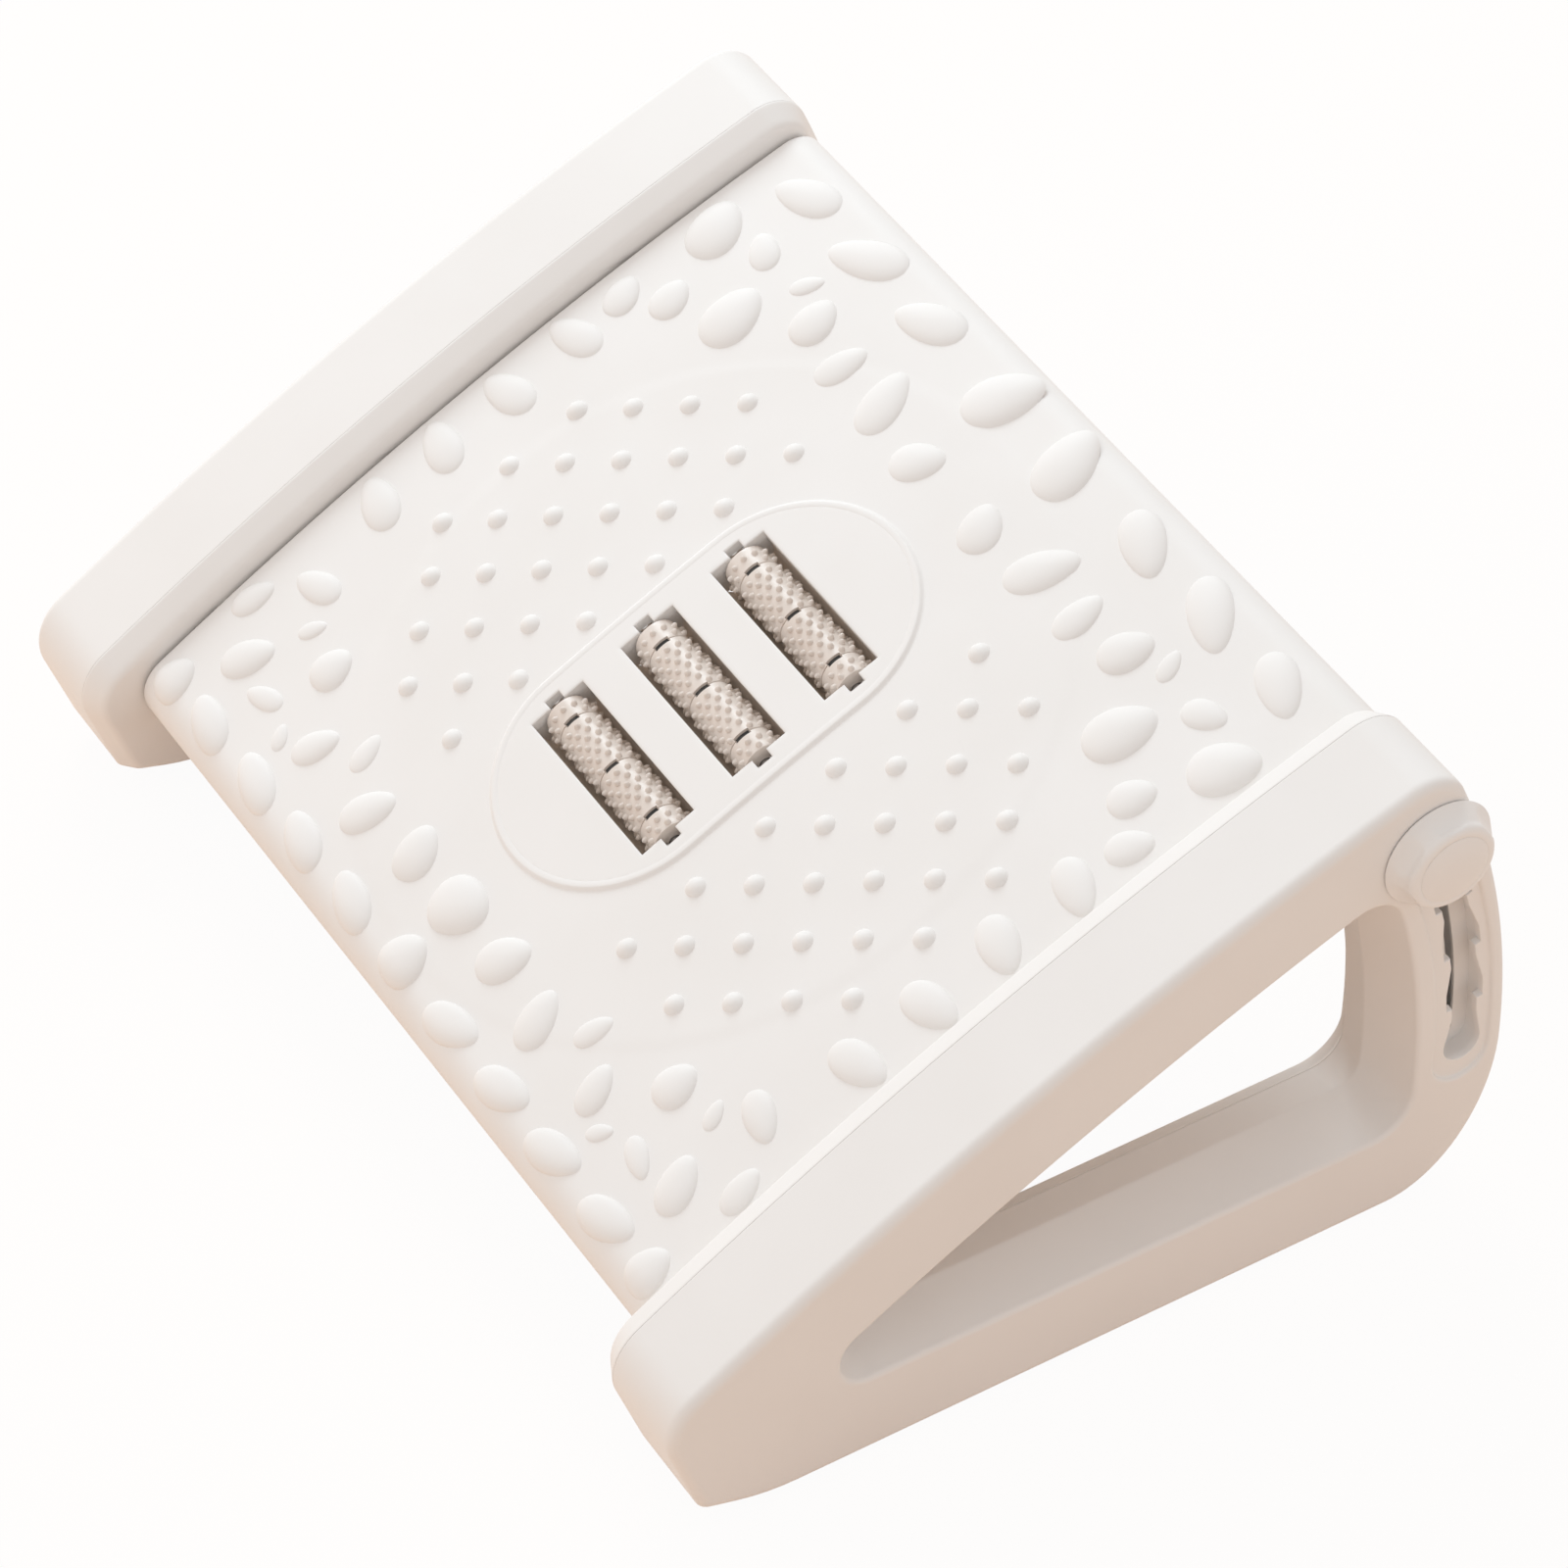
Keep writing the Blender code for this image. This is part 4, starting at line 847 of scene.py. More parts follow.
dotField = {"radius": 0.1365, "rise": 0.00028, "slope": 0.0030}
plateBosses = {
    "rodBoss": 0.009,
    "rodBore": 0.006,
    "lugRadius": 0.010,
    "lugBore": 0.0045,
    "length": 0.028,
    "soft": 0.0006,
    "sides": 32,
}
slotPlaces = [(i - 1) * rollerField["slotSpacing"] for i in range(3)]


def smoothStep(edge0, edge1, value):
    t = min(1.0, max(0.0, (value - edge0) / (edge1 - edge0)))
    return t * t * (3 - 2 * t)


def inSlot(x, s, grow=0.0):
    r = rollerField
    half = r["slotLength"] / 2
    reach = half + (r["notchRight"] if x > 0 else r["notchLeft"])
    apart = min(abs(s - place) for place in slotPlaces)
    inLength = abs(x) < half + grow and apart < r["slotWidth"] / 2 + grow
    return inLength or (abs(x) < reach + grow and apart < r["notchWidth"] / 2 + grow)


def reliefHeight(x, s):
    # The raised field round the slots, its soft slot edges, and the wide faint field of the dots
    r = rollerField
    up = max(0.0, abs(s) - r["straight"] / 2)
    inside = r["radius"] - r["edge"] * r["edgeShare"] - sqrt(x * x + up * up)
    height = r["rise"] if inside > 0 else 0.0
    reach = sqrt(x * x + s * s) - dotField["radius"]
    height += dotField["rise"] * (1 - smoothStep(-dotField["slope"] / 2, dotField["slope"] / 2, reach))
    if inSlot(x, s, 1e-6):
        height -= r["rimDrop"]
    elif inSlot(x, s, r["rimWidth"] * r["outerRimWidth"]):
        height -= r["rimDrop"] * r["outerRimDrop"]
    return height


def spaced(start, end, step):
    count = max(1, round((end - start) / step))
    return [start + (end - start) * i / count for i in range(count)]


def refined(places, reaches, start, end, fineReach):
    # Stations from start to end through the slots' edges and rims, finer inside a reach of the middle
    stops = {start, -fineReach, fineReach, end}
    for reach in reaches:
        for share in rollerField["rimShares"]:
            out = reach + rollerField["rimWidth"] * share
            stops.update(place + side * out for place in places for side in (-1, 1))
    stops = sorted(stops)
    stations = []
    for a, b in zip(stops, stops[1:]):
        stations += spaced(a, b, footplate["fine"] if abs(a + b) / 2 < fineReach else footplate["coarse"])
    return stations + [end]


def plateStations():
    r, p = rollerField, footplate
    half = r["slotLength"] / 2
    inside = plateHalf - p["cheekWall"]
    edge = plateHalf - p["sideRound"]
    fineReach = r["radius"] + p["fineMargin"]
    xs = refined((0,), (half, half + r["notchRight"], half + r["notchLeft"]), -inside, inside, fineReach)
    ss = refined(slotPlaces, (r["slotWidth"] / 2, r["notchWidth"] / 2), -frontReach, rearReach,
                 r["straight"] / 2 + fineReach)
    nose = spaced(-frontReach - arch["noseRadius"] * p["lipTurn"], -frontReach, p["rollStep"])
    rear = spaced(rearReach, tailStart, p["rollStep"])[1:]
    skirtEnd = tailStart + p["tailDepth"] - arch["rearRadius"]
    return [-edge, *xs, edge], nose + ss + rear + spaced(tailStart, skirtEnd, p["skirtStep"]) + [skirtEnd]


def lowerChain(inset):
    # The cheek's lower edge, from the skirt forward to the nose
    p = footplate
    tail = rearReach + arch["rearRadius"] - p["tailLength"]
    start = tail - p["tailSlope"]
    end = -frontReach + p["tailLength"]
    points = [skin(tail, -p["tailDepth"] + inset)]
    points += [skin(start + (end - start) * i / 24, -p["cheekDepth"] + inset) for i in range(25)]
    for i in range(12):
        turn = p["noseTurn"] + (p["lipTurn"] - p["noseTurn"]) * i / 12
        points.append(skin(-frontReach - arch["noseRadius"] * turn, -inset))
    return points


def plateShell(name):
    p = footplate
    xs, ss = plateStations()
    last = len(xs) - 2
    bm = bmesh.new()
    outer = []
    for s in ss:
        onTop = -frontReach <= s <= rearReach
        outer.append([bm.verts.new((x, *skin(s, reliefHeight(x, s) if onTop else 0))) for x in xs])
    # The underside has no outermost columns, so its columns are counted from the second one
    inner = [[bm.verts.new((x, *skin(s, -p["wall"]))) for x in xs[1:-1]] for s in ss]
    middleX = [(a + b) / 2 for a, b in zip(xs, xs[1:])]
    gone = [[inSlot(x, (a + b) / 2) for x in middleX] for a, b in zip(ss, ss[1:])]
    for j in range(len(ss) - 1):
        for i in range(last + 1):
            corners = ((j, i), (j, i + 1), (j + 1, i + 1), (j + 1, i))
            if not gone[j][i]:
                bm.faces.new([outer[b][a] for b, a in corners])
                if 1 <= i < last:
                    bm.faces.new([inner[b][a - 1] for b, a in corners])
                continue
            beside = ((j - 1, i), (j, i + 1), (j + 1, i), (j, i - 1))
            for (row, column), (ja, ia), (jb, ib) in zip(beside, corners, corners[1:] + corners[:1]):
                if not gone[row][column]:
                    bm.faces.new((outer[ja][ia], outer[jb][ib], inner[jb][ib - 1], inner[ja][ia - 1]))
    for j in (0, -1):
        bridge(bm, outer[j][1:-1], inner[j], closed=False)

    # The cheeks, with a round edge to the top
    soft = p["sideRound"]
    insets = [(soft * a, soft * b) for a, b in quarter(5)[1:]] + [(0, soft + support)]
    for side, edge, wallLine in ((-1, 0, 1), (1, last + 1, last)):
        lower = ringAt(bm, side * (plateHalf - soft), lowerChain(0))
        loops = [[row[edge] for row in outer] + lower]
        for short, inset in insets:
            outline = [skin(s, -inset) for s in ss] + lowerChain(inset)
            loops.append(ringAt(bm, side * (plateHalf - short), outline))
        bridgeAll(bm, loops)
        fillFlat(bm, loops[-1])
        cheek = ringAt(bm, side * (plateHalf - p["cheekWall"]), lowerChain(0))
        chainA = [outer[-1][edge], *lower, outer[0][edge]]
        chainB = [outer[-1][wallLine], *cheek, outer[0][wallLine]]
        bridge(bm, chainA, chainB, closed=False)
        fillFlat(bm, [row[wallLine - 1] for row in inner] + chainB)
    return pieceFrom(bm, name, plateWhite, 40)


def block(bm, xStart, xEnd, sStart, sEnd, low, high, count=1):
    path = [sStart + (sEnd - sStart) * i / count for i in range(count + 1)]
    prism(bm, [skin(s, low) for s in path] + [skin(s, high) for s in reversed(path)], xStart, xEnd)


def plateRibs(name):
    p, b = footplate, plateBosses
    top = -p["wall"] * p["ribSink"]
    half = p["ribThickness"] / 2
    ribStart = -frontReach + tilt["pivotInset"] + 2 * b["rodBoss"]
    ribEnd = rearReach + arch["rearRadius"] * p["ribPast"]
    bm = bmesh.new()
    for share in p["ribShares"]:
        x = plateHalf * share
        block(bm, x - half, x + half, ribStart, ribEnd, -p["ribDepth"], top, 24)
    reach = plateHalf * max(p["ribShares"]) + half
    for s in (ribStart, rearReach * p["crossRibShare"]):
        block(bm, -reach, reach, s - half, s + half, -p["crossRibDepth"], top)
    soft = b["soft"]
    start = plateHalf - b["length"]
    end = plateHalf - p["cheekWall"] / 2
    bosses = ((pivot, b["rodBoss"], b["rodBore"]), (lock, b["lugRadius"], b["lugBore"]))
    for side in (-1, 1):
        for place, radius, bore in bosses:
            profile = [(start, bore), (start, radius - soft), (start + soft, radius)]
            profile += [(end, radius), (end, bore)]
            turned(bm, place, profile, b["sides"], side)
    return pieceFrom(bm, name, plateWhite, 40)


def rollerTroughs(name):
    # The walls of each roller's trough and its round bottom, as one half-round channel, in a finish of
    # painted warm shade
    reach = rollerField["slotLength"] / 2 - gap
    inner = rollerField["slotWidth"] / 2 + gap / 3
    outer = inner + footplate["ribThickness"]
    bm = bmesh.new()
    for s in slotPlaces:
        lean = topAngle(s) - pi / 2
        hub = skin(s, -rollerField["axleDrop"])
        brink = skin(s, -footplate["wall"] - gap)
        points = []
        for radius, start, end in ((outer, lean - pi, lean), (inner, lean, lean - pi)):
            points += [along(brink, radius, start), *arc(hub, radius, start, end, 32)]
            points.append(along(brink, radius, end))
        prism(bm, points, -reach, reach)
    return pieceFrom(bm, name, troughPaintedShade, 40)


def fieldEdge(name):
    # The crisp soft edge of the raised field, laid over the plate's coarser grid
    r = rollerField
    half = r["straight"] / 2
    low = dotField["rise"]
    high = low + r["rise"]
    cover = -r["edgeCover"]
    lift = r["rise"] + r["edgeLift"]
    profile = [(r["edge"] / 2, low - gap)]
    for i in range(9):
        share = i / 8
        profile.append((r["edge"] * (0.5 - share), low + lift * smoothStep(0, 1, share)))
    profile += [(cover + r["coverSlope"], high + r["coverLift"]), (cover, high - gap), (cover, low - gap)]
    bm = bmesh.new()
    loops = []
    for out, n in profile:
        reach = r["radius"] + out
        outline = []
        for end in (1, -1):
            outline += [(x * end, s * end) for x, s in arc((0, half), reach, 0, pi, 80)]
            outline += [(-reach * end, half * end * (1 - i / 8)) for i in range(1, 16)]
        loops.append([bm.verts.new((x, *skin(s, n))) for x, s in outline])
    bridgeAll(bm, loops + loops[:1])
    return pieceFrom(bm, name, plateWhite, 60)


plateTop = plateShell("footplate_shell")
dress(plateTop, "footplate", "white_plastic", "footplate")
for made in (plateRibs("footplate_ribs"), rollerTroughs("roller_troughs"), fieldEdge("roller_field_edge")):
    dress(made, "footplate", "white_plastic")
print("footplate made,", len(plateTop.data.polygons), "faces")


# Massage relief. A row is across share, along share, length share, width share and turn in degrees, for
# the right half. The first two are shares of the plate's half width and of its rear or its front reach.
pebble = {
    "length": 0.034,
    "riseShare": 0.17,
    "egg": 0.16,
    "sunk": 0.0007,
    "rings": 11,
    "columns": 29,
    "cap": radians(80),
}
middlePebbleShares = (
    (0.0, -0.797, 0.76, 0.68, 20),
    (0.0, -0.988, 0.62, 0.60, 90),
)
pebbleShares = (
    (0.114, 0.950, 0.94, 0.64, 112),
    (0.380, 0.952, 0.90, 0.49, -23),
    (0.611, 0.950, 0.98, 0.49, -28),
    (0.838, 0.950, 0.85, 0.46, -22),
    (0.916, 0.736, 0.78, 0.62, 58),
    (0.790, 0.785, 0.52, 0.35, 25),
    (0.650, 0.803, 0.40, 0.22, 118),
    (0.561, 0.755, 0.62, 0.49, 70),
    (0.427, 0.730, 0.64, 0.39, 96),
    (0.285, 0.742, 0.85, 0.50, 66),
    (0.114, 0.707, 0.64, 0.49, 130),
    (0.703, 0.623, 0.82, 0.62, 75),
    (0.840, 0.545, 0.53, 0.43, 68),
    (0.926, 0.468, 0.53, 0.40, 60),
    (0.918, 0.323, 0.75, 0.42, -16),
    (0.912, 0.119, 0.75, 0.44, -14),
    (0.916, -0.088, 0.75, 0.44, 12),
    (0.910, -0.304, 0.75, 0.44, 14),
    (0.852, -0.560, 0.64, 0.36, -18),
    (0.778, -0.642, 0.35, 0.20, 118),
    (0.667, -0.669, 0.53, 0.47, 90),
    (0.948, -0.708, 0.55, 0.34, 104),
    (0.444, -0.736, 0.49, 0.28, 75),
    (0.332, -0.824, 0.70, 0.45, 114),
    (0.170, -0.796, 0.67, 0.52, 62),
    (0.547, -0.824, 0.59, 0.37, 114),
    (0.628, -0.879, 0.32, 0.19, 50),
    (0.731, -0.846, 0.52, 0.26, -20),
    (0.840, -0.815, 0.67, 0.44, 120),
    (0.196, -0.999, 0.80, 0.44, 18),
    (0.394, -0.999, 0.78, 0.44, 18),
    (0.586, -0.999, 0.80, 0.44, 18),
    (0.784, -0.999, 0.78, 0.44, 18),
    (0.935, -0.999, 0.58, 0.48, 90),
)
dots = {
    "pitch": 0.0314,
    "radius": 0.0042,
    "rise": 0.0025,
    "lattice": (2, 2.5, 3, 3.5, 4, 4.5),
    "halfRows": 5,
    "reach": 5.5,
    "upShift": 0.0011,
    "leftShift": 0.0048,
    "egg": 0.0,
    "sunk": 0.0007,
    "rings": 8,
    "columns": 19,
    "cap": radians(58),
}


def pebbleRows():
    rows = list(middlePebbleShares)
    for row in pebbleShares:
        rows += [row, (-row[0], *row[1:4], 180 - row[4])]
    placed = []
    for across, up, length, width, turn in rows:
        s = up * (rearReach if up > 0 else frontReach)
        size = pebble["length"] / 2
        rise = 2 * size * width * pebble["riseShare"]
        placed.append((plateHalf * across, s, size * length, size * width, rise, radians(turn)))
    return placed


def dotRows():
    d = dots
    placed = []
    for column in d["lattice"]:
        for halfRow in range(-d["halfRows"], d["halfRows"] + 1):
            row = halfRow / 2
            if (round(2 * column) + halfRow) % 2 == 1 and column + abs(row) <= d["reach"]:
                s = row * d["pitch"] + d["upShift"]
                size = (d["radius"], d["radius"], d["rise"])
                for side, shift in ((-1, d["leftShift"]), (1, 0.0)):
                    placed.append((side * column * d["pitch"] + shift, s, *size, 0.0))
    return placed


def reliefTree(look):
    # Copies of a dome, each with its own size and turn, laid on the rolled surface of the plate
    graph = nodeTree("laid_domes", ("rings", "columns"), ("egg", "cap", "sunk"))
    cap = graph.given("cap")
    grid, reach, turn = roundGrid(graph, graph.given("rings"), graph.given("columns"))
    reach = reach * (1 + 1.0 / (graph.given("rings") - 2))
    under = reach > pastRim
    swing = reach * cap
    radius = swing.sine() / cap.sine() * (1 - under)
    height = (swing.cosine() - cap.cosine()) / (1 - cap.cosine()) * (1 - under) - under
    bulge = 1 - graph.given("egg") * turn.cosine()
    dome = rolled(graph, grid, radius, turn, height, bulge)
    spin = graph.node("ShaderNodeCombineXYZ", Z=attribute(graph, "yaw", "FLOAT"))
    heading = graph.out(graph.node("FunctionNodeEulerToRotation", Euler=graph.out(spin)))
    copies = copied(graph, dome, Rotation=heading, Scale=attribute(graph, "size"))
    real = graph.out(graph.node("GeometryNodeRealizeInstances", Geometry=copies))

    # Flat X, along and height become a place on the arch or on the roll of the nose
    x, s, n = position(graph)
    lifted = n * (n > 0) + (n < 0) * graph.given("sunk") * -1.0
    overNose = (-1 * s) - frontReach
    onNose = overNose > 0
    angle = topAngle(s)
    noseAngle = topAngle(-frontReach) + overNose / arch["noseRadius"]
    hub = skin(-frontReach, -arch["noseRadius"])
    archReach = arch["radius"] + lifted
    noseReach = arch["noseRadius"] + lifted
    y = (archCentre[0] + archReach * angle.cosine()) * (1 - onNose)
    y = y + (hub[0] + noseReach * noseAngle.cosine()) * onNose
    z = (archCentre[1] + archReach * angle.sine()) * (1 - onNose)
    z = z + (hub[1] + noseReach * noseAngle.sine()) * onNose
    return endTree(graph, moved(graph, real, x, y, z), look)


domeTree = reliefTree(plateWhite)
for name, rows, values in (("pebbles", pebbleRows(), pebble), ("dots", dotRows(), dots)):
    points = [(row[0], row[1], 0) for row in rows]
    attributes = {"size": [row[2:5] for row in rows], "yaw": [row[5] for row in rows]}
    dress(growCopies(name, domeTree, points, attributes, values), "footplate", "white_plastic")
print("pebbles and dots laid")


# Rollers

roller = {
    "drum": 0.0086,
    "round": 0.0004,
    "spikeHeight": 0.0016,
    "spikeRadius": 0.0014,
    "spikeSink": 0.3,
    "spikeRim": 0.99,
    "spikeColumns": 11,
    "spikesRound": 12,
    "collar": 0.0023,
    "rings": (2, 7, 7, 2),
    "shares": (0.131, 0.369, 0.369, 0.131),
    "gap": 0.0003,
    "endGap": 0.00105,
    "axle": 0.0022,
    "axleReach": 0.0037,
    "axleChamfer": 0.0004,
    "dashLength": 0.0058,
    "dashWidth": 0.0021,
    "dashFloor": 0.0029,
    "dashEdge": 2e-5,
    "ringDrop": 0.0013,
    "ringWidth": 0.0025,
    "sides": 96,
    "axleSides": 32,
    "ringSides": 48,
}


def segmentSpans():
    # Start, end and rings of spikes of each segment in a roller's row
    row = rollerField["slotLength"] - 2 * roller["endGap"]
    drums = row - roller["gap"] * (len(roller["shares"]) - 1)
    start = -row / 2
    spans = []
    for share, rings in zip(roller["shares"], roller["rings"]):
        spans.append((start, start + drums * share, rings))
        start += drums * share + roller["gap"]
    return spans


spans = segmentSpans()
joints = [(a[1] + b[0]) / 2 for a, b in zip(spans, spans[1:])]


def fromTop(s, angle):
    # How far an angle round a roller is from the roller's top
    return abs((angle - topAngle(s) + pi) % (2 * pi) - pi)


def rollerDrums(name, s):
    # Drums with soft ends, and a short deep slit on top where two of them meet
    r = roller
    soft, dashIn = r["round"], r["dashWidth"] / 2

    def dash(x, radius, angle):
        near = any(abs(x - joint) < dashIn + r["gap"] / 2 for joint in joints)
        onTop = fromTop(s, angle) < r["dashLength"] / 2 / r["drum"]
        return radius - r["dashFloor"] if near and onTop and radius > r["dashFloor"] else 0.0

    bm = bmesh.new()
    for start, end, _ in spans:
        half = [(0, r["axle"] + gap), (0, r["drum"] - soft), (soft * bend, r["drum"] - soft * bend)]
        half += [(dashIn + side * r["dashEdge"], r["drum"]) for side in (-1, 1)]
        profile = [(start + x, radius) for x, radius in half]
        profile += [(end - x, radius) for x, radius in reversed(half)]
        turned(bm, skin(s, -rollerField["axleDrop"]), profile, r["sides"], 1, dash)
    return pieceFrom(bm, name, rollerCream, 40)


def spikeTree(look):
    # Rounded cones on given places, each pointing out of the drum
    graph = nodeTree("roller_spikes", ("spikeColumns",), ("spikeRadius", "spikeHeight"))
    grid, reach, turn = roundGrid(graph, 5, graph.given("spikeColumns"))
    reach = reach * (4 / 3)
    under = reach > pastRim
    radius = reach * (1 - under) * graph.given("spikeRadius")
    rise = (1 - reach * reach) * (1 - under) - roller["spikeSink"] * (reach > roller["spikeRim"])
    spike = rolled(graph, grid, radius, turn, rise * graph.given("spikeHeight"))
    return endTree(graph, copiedOutward(graph, spike), look)


def spikePlaces(centre, s):
    # Places and directions of the spikes, none where a dash is
    r = roller
    points = []
    outward = []
    for start, end, rings in spans:
        first = start + r["collar"]
        for i in range(rings):
            x = first + (end - first) * (i + 0.5) / rings
            near = end - x < r["dashWidth"] / 2 + r["spikeRadius"] and end < spans[-1][1]
            for k in range(r["spikesRound"]):
                angle = topAngle(s) + 2 * pi * (k + i % 2 / 2) / r["spikesRound"]
                if near and r["drum"] * fromTop(s, angle) < r["dashLength"] / 2 + r["spikeRadius"] / 2:
                    continue
                points.append((x, *along(centre, r["drum"], angle)))
                outward.append((0.0, cos(angle), sin(angle)))
    return points, {"outward": outward}


def slit_shade_rings(name, centre):
    # Dark rings between the drums, seen through the slits: painted shade, a dark part put where the slits
    # would only be in shade
    half = roller["ringWidth"] / 2
    bore = roller["axle"] + gap
    outer = roller["drum"] - roller["ringDrop"]
    bm = bmesh.new()
    for x in joints:
        profile = [(x - half, bore), (x - half, outer), (x + half, outer), (x + half, bore)]
        turned(bm, centre, profile, roller["ringSides"])
    return pieceFrom(bm, name, rubberAndSlitShade)


coneTree = spikeTree(rollerCream)
axleEnd = rollerField["slotLength"] / 2 + roller["axleReach"]
axleProfile = [(-axleEnd, 0), *barrel(-axleEnd, axleEnd, roller["axle"], roller["axleChamfer"]), (axleEnd, 0)]
for word, s in zip(("front", "middle", "rear"), slotPlaces):
    body = word + "_roller"
    centre = skin(s, -rollerField["axleDrop"])
    segments = [f"{word}_roller_segment_{i}" for i in (1, 2, 3, 4)]
    dress(rollerDrums(body, s), body, "cream_plastic", *segments)
    spikes = growCopies(word + "_spikes", coneTree, *spikePlaces(centre, s), roller)
    dress(spikes, body, "cream_plastic")
    # Painted shade under the slits, as dark rings
    dress(slit_shade_rings(word + "_spacers", centre), body, "rubber")
    axle = lathe(word + "_axle", steelBright, centre, axleProfile, roller["axleSides"])
    dress(axle, body, "steel", word + "_roller_axle")
print("rollers made")


# Lock knobs, caps and pins

knob = {
    "radius": 0.0212,
    "taper": 0.0038,
    "height": 0.0105,
    "shoulder": 0.003,
    "rimWall": 0.0035,
    "rimRound": 0.0006,
    "web": 0.0035,
    "hub": 0.009,
    "flutes": 6,
    "fluteDepth": 0.0012,
    "fluteInset": 0.0012,
    "fluteWidth": 0.72,
    "fluteHeight": 0.56,
    "fluteSoft": 0.8,
    "fluteTop": 0.75,
    "capRadius": 0.0125,
    "capRise": 0.0017,
    "capDepth": 0.003,
    "capWay": ((0, 0.0004), (-0.0003, 0)),
    "capLip": 0.0009,
    "capLipSoft": 0.0002,
    "capLipLift": 0.00003,
    "capLipRise": 0.00012,
    "capCrown": 2.4,
    "sides": 144,
    "capSides": 96,
}
lockPin = {
    "radius": 0.0042,
    "neck": 0.0013,
    "collar": 0.0067,
    "collarLength": 0.0036,
    "hold": 0.030,
    "short": 0.001,
    "chamfer": 0.0005,
    "sides": 40,
}
knobTop = faceX + knob["height"]
capSeat = knobTop - knob["capDepth"]
lockTravel = sideFrame["faceWall"] - lockSlot["recessDepth"]


def knobBody(name, side):
    k = knob
    rim = faceX + gap
    rimRound = k["rimRound"]
    bore = lockPin["radius"] + gap
    capWay = k["capRadius"] + gap
    shoulder = k["radius"] - k["taper"]
    flank = knobTop - k["shoulder"]
    low, high = rim + k["fluteInset"], knobTop - k["fluteInset"]
    step = 2 * pi / k["flutes"]

    def flutes(x, radius, angle):
        # Shallow oval dents round the flank
        up = (x - low) / (high - low)
        if radius < shoulder - k["shoulder"] * k["fluteTop"] or up <= 0 or up >= 1:
            return 0.0
        across = ((angle - pi / 2 + step / 2) % step - step / 2) / (step / 2 * k["fluteWidth"])
        reach = across ** 2 + ((up - 0.5) / k["fluteHeight"]) ** 2
        return k["fluteDepth"] * max(0.0, 1 - reach) ** k["fluteSoft"]

    start = faceX - lockSlot["recessDepth"] + gap
    web = capSeat - k["web"]
    wall = k["radius"] - k["rimWall"]
    profile = [(start, bore), (start, k["hub"]), (web, k["hub"]), (web, wall), (rim, wall)]
    profile += [(rim, k["radius"] - rimRound), (rim + rimRound / 3, k["radius"] - rimRound / 3)]
    for i in range(9):
        share = i / 8
        profile.append((rim + rimRound + (flank - rim - rimRound) * share, k["radius"] - k["taper"] * share))
    profile += [(knobTop - k["shoulder"] * a, shoulder - k["shoulder"] * b) for a, b in quarter(8)[1:]]
    profile += [(knobTop + x, capWay + out) for x, out in k["capWay"]] + [(capSeat, capWay), (capSeat, bore)]
    return lathe(name, knobWhite, lock, profile, k["sides"], side, 50, flutes)


def knobCap(name, side):
    k = knob
    lip = k["capRadius"] + k["capLip"]
    edge = lip - k["capLipSoft"]
    seat = capSeat + gap
    under = knobTop + k["capLipLift"]
    profile = [(seat, 0), (seat, k["capRadius"]), (under, k["capRadius"]), (under, lip)]
    for i in range(15):
        out = 1 - i / 14
        rise = k["capLipRise"] + k["capRise"] * (1 - out ** k["capCrown"])
        profile.append((knobTop + rise, edge * out))
    return lathe(name, capWhite, lock, profile, k["capSides"], side, 50)


def pinBody(name, side):
    p = lockPin
    soft = p["chamfer"]
    start = plateHalf - p["hold"]
    inside = faceX - sideFrame["faceWall"]
    neckStart = inside - lockSlot["guideDepth"] - lockSlot["guideWall"] - lockTravel - 2 * gap
    collarEnd = inside - gap
    collarStart = collarEnd - p["collarLength"]
    end = capSeat - lockTravel - p["short"]
    profile = [(start, 0), *barrel(start, neckStart, p["radius"], soft), (neckStart, p["neck"])]
    profile += [(collarStart, p["neck"]), *barrel(collarStart, collarEnd, p["collar"], soft)]
    profile += [(collarEnd, p["radius"]), (end - soft, p["radius"]), (end, p["radius"] - soft), (end, 0)]
    return lathe(name, steelBright, lock, profile, p["sides"], side)


for word, side in bothSides:
    dress(knobBody(word + "_knob_body", side), word + "_knob", "white_plastic", word + "_lock_knob")
    dress(knobCap(word + "_knob_face", side), word + "_knob", "white_plastic", word + "_knob_cap")
    dress(pinBody(word + "_pin_body", side), word + "_pin", "steel", word + "_lock_pin")
print("lock knobs and pins made")


# Rod, bushes, washers and roller rails

rod = {
    "radius": 0.004,
    "chamfer": 0.0006,
    "bite": 0.020,
    "bushWall": 0.0014,
    "bushLength": 0.020,
    "flange": 0.0085,
    "flangeThickness": 0.0007,
    "flangeSoft": 0.0002,
    "sides": 48,
    "bushSides": 40,
}
rail = {"width": 0.008, "depth": 0.013, "halfLength": 0.076, "screwInset": 0.008}
flangeStart = plateHalf + gap
flangeEnd = flangeStart + rod["flangeThickness"]
flangeProfile = barrel(flangeStart, flangeEnd, rod["flange"], rod["flangeSoft"])


def rodPiece(name):
    reach = innerX + bandWidth * sideFrame["seamShare"] + rod["bite"]
    profile = [(-reach, 0), *barrel(-reach, reach, rod["radius"], rod["chamfer"]), (reach, 0)]
    return lathe(name, steelBright, pivot, profile, rod["sides"])


def bushPiece(name, side):
    inner = rod["radius"] + gap
    outer = inner + rod["bushWall"]
    start = plateHalf - rod["bushLength"]
    profile = [(start, inner), (start, outer), (flangeStart, outer), *flangeProfile, (flangeEnd, inner)]
    return lathe(name, nylonWhite, pivot, profile, rod["bushSides"], side)


def washerPiece(name, side):
    bore = lockPin["radius"] + gap
    profile = [(flangeStart, bore), *flangeProfile, (flangeEnd, bore)]
    return lathe(name, nylonWhite, lock, profile, rod["bushSides"], side)


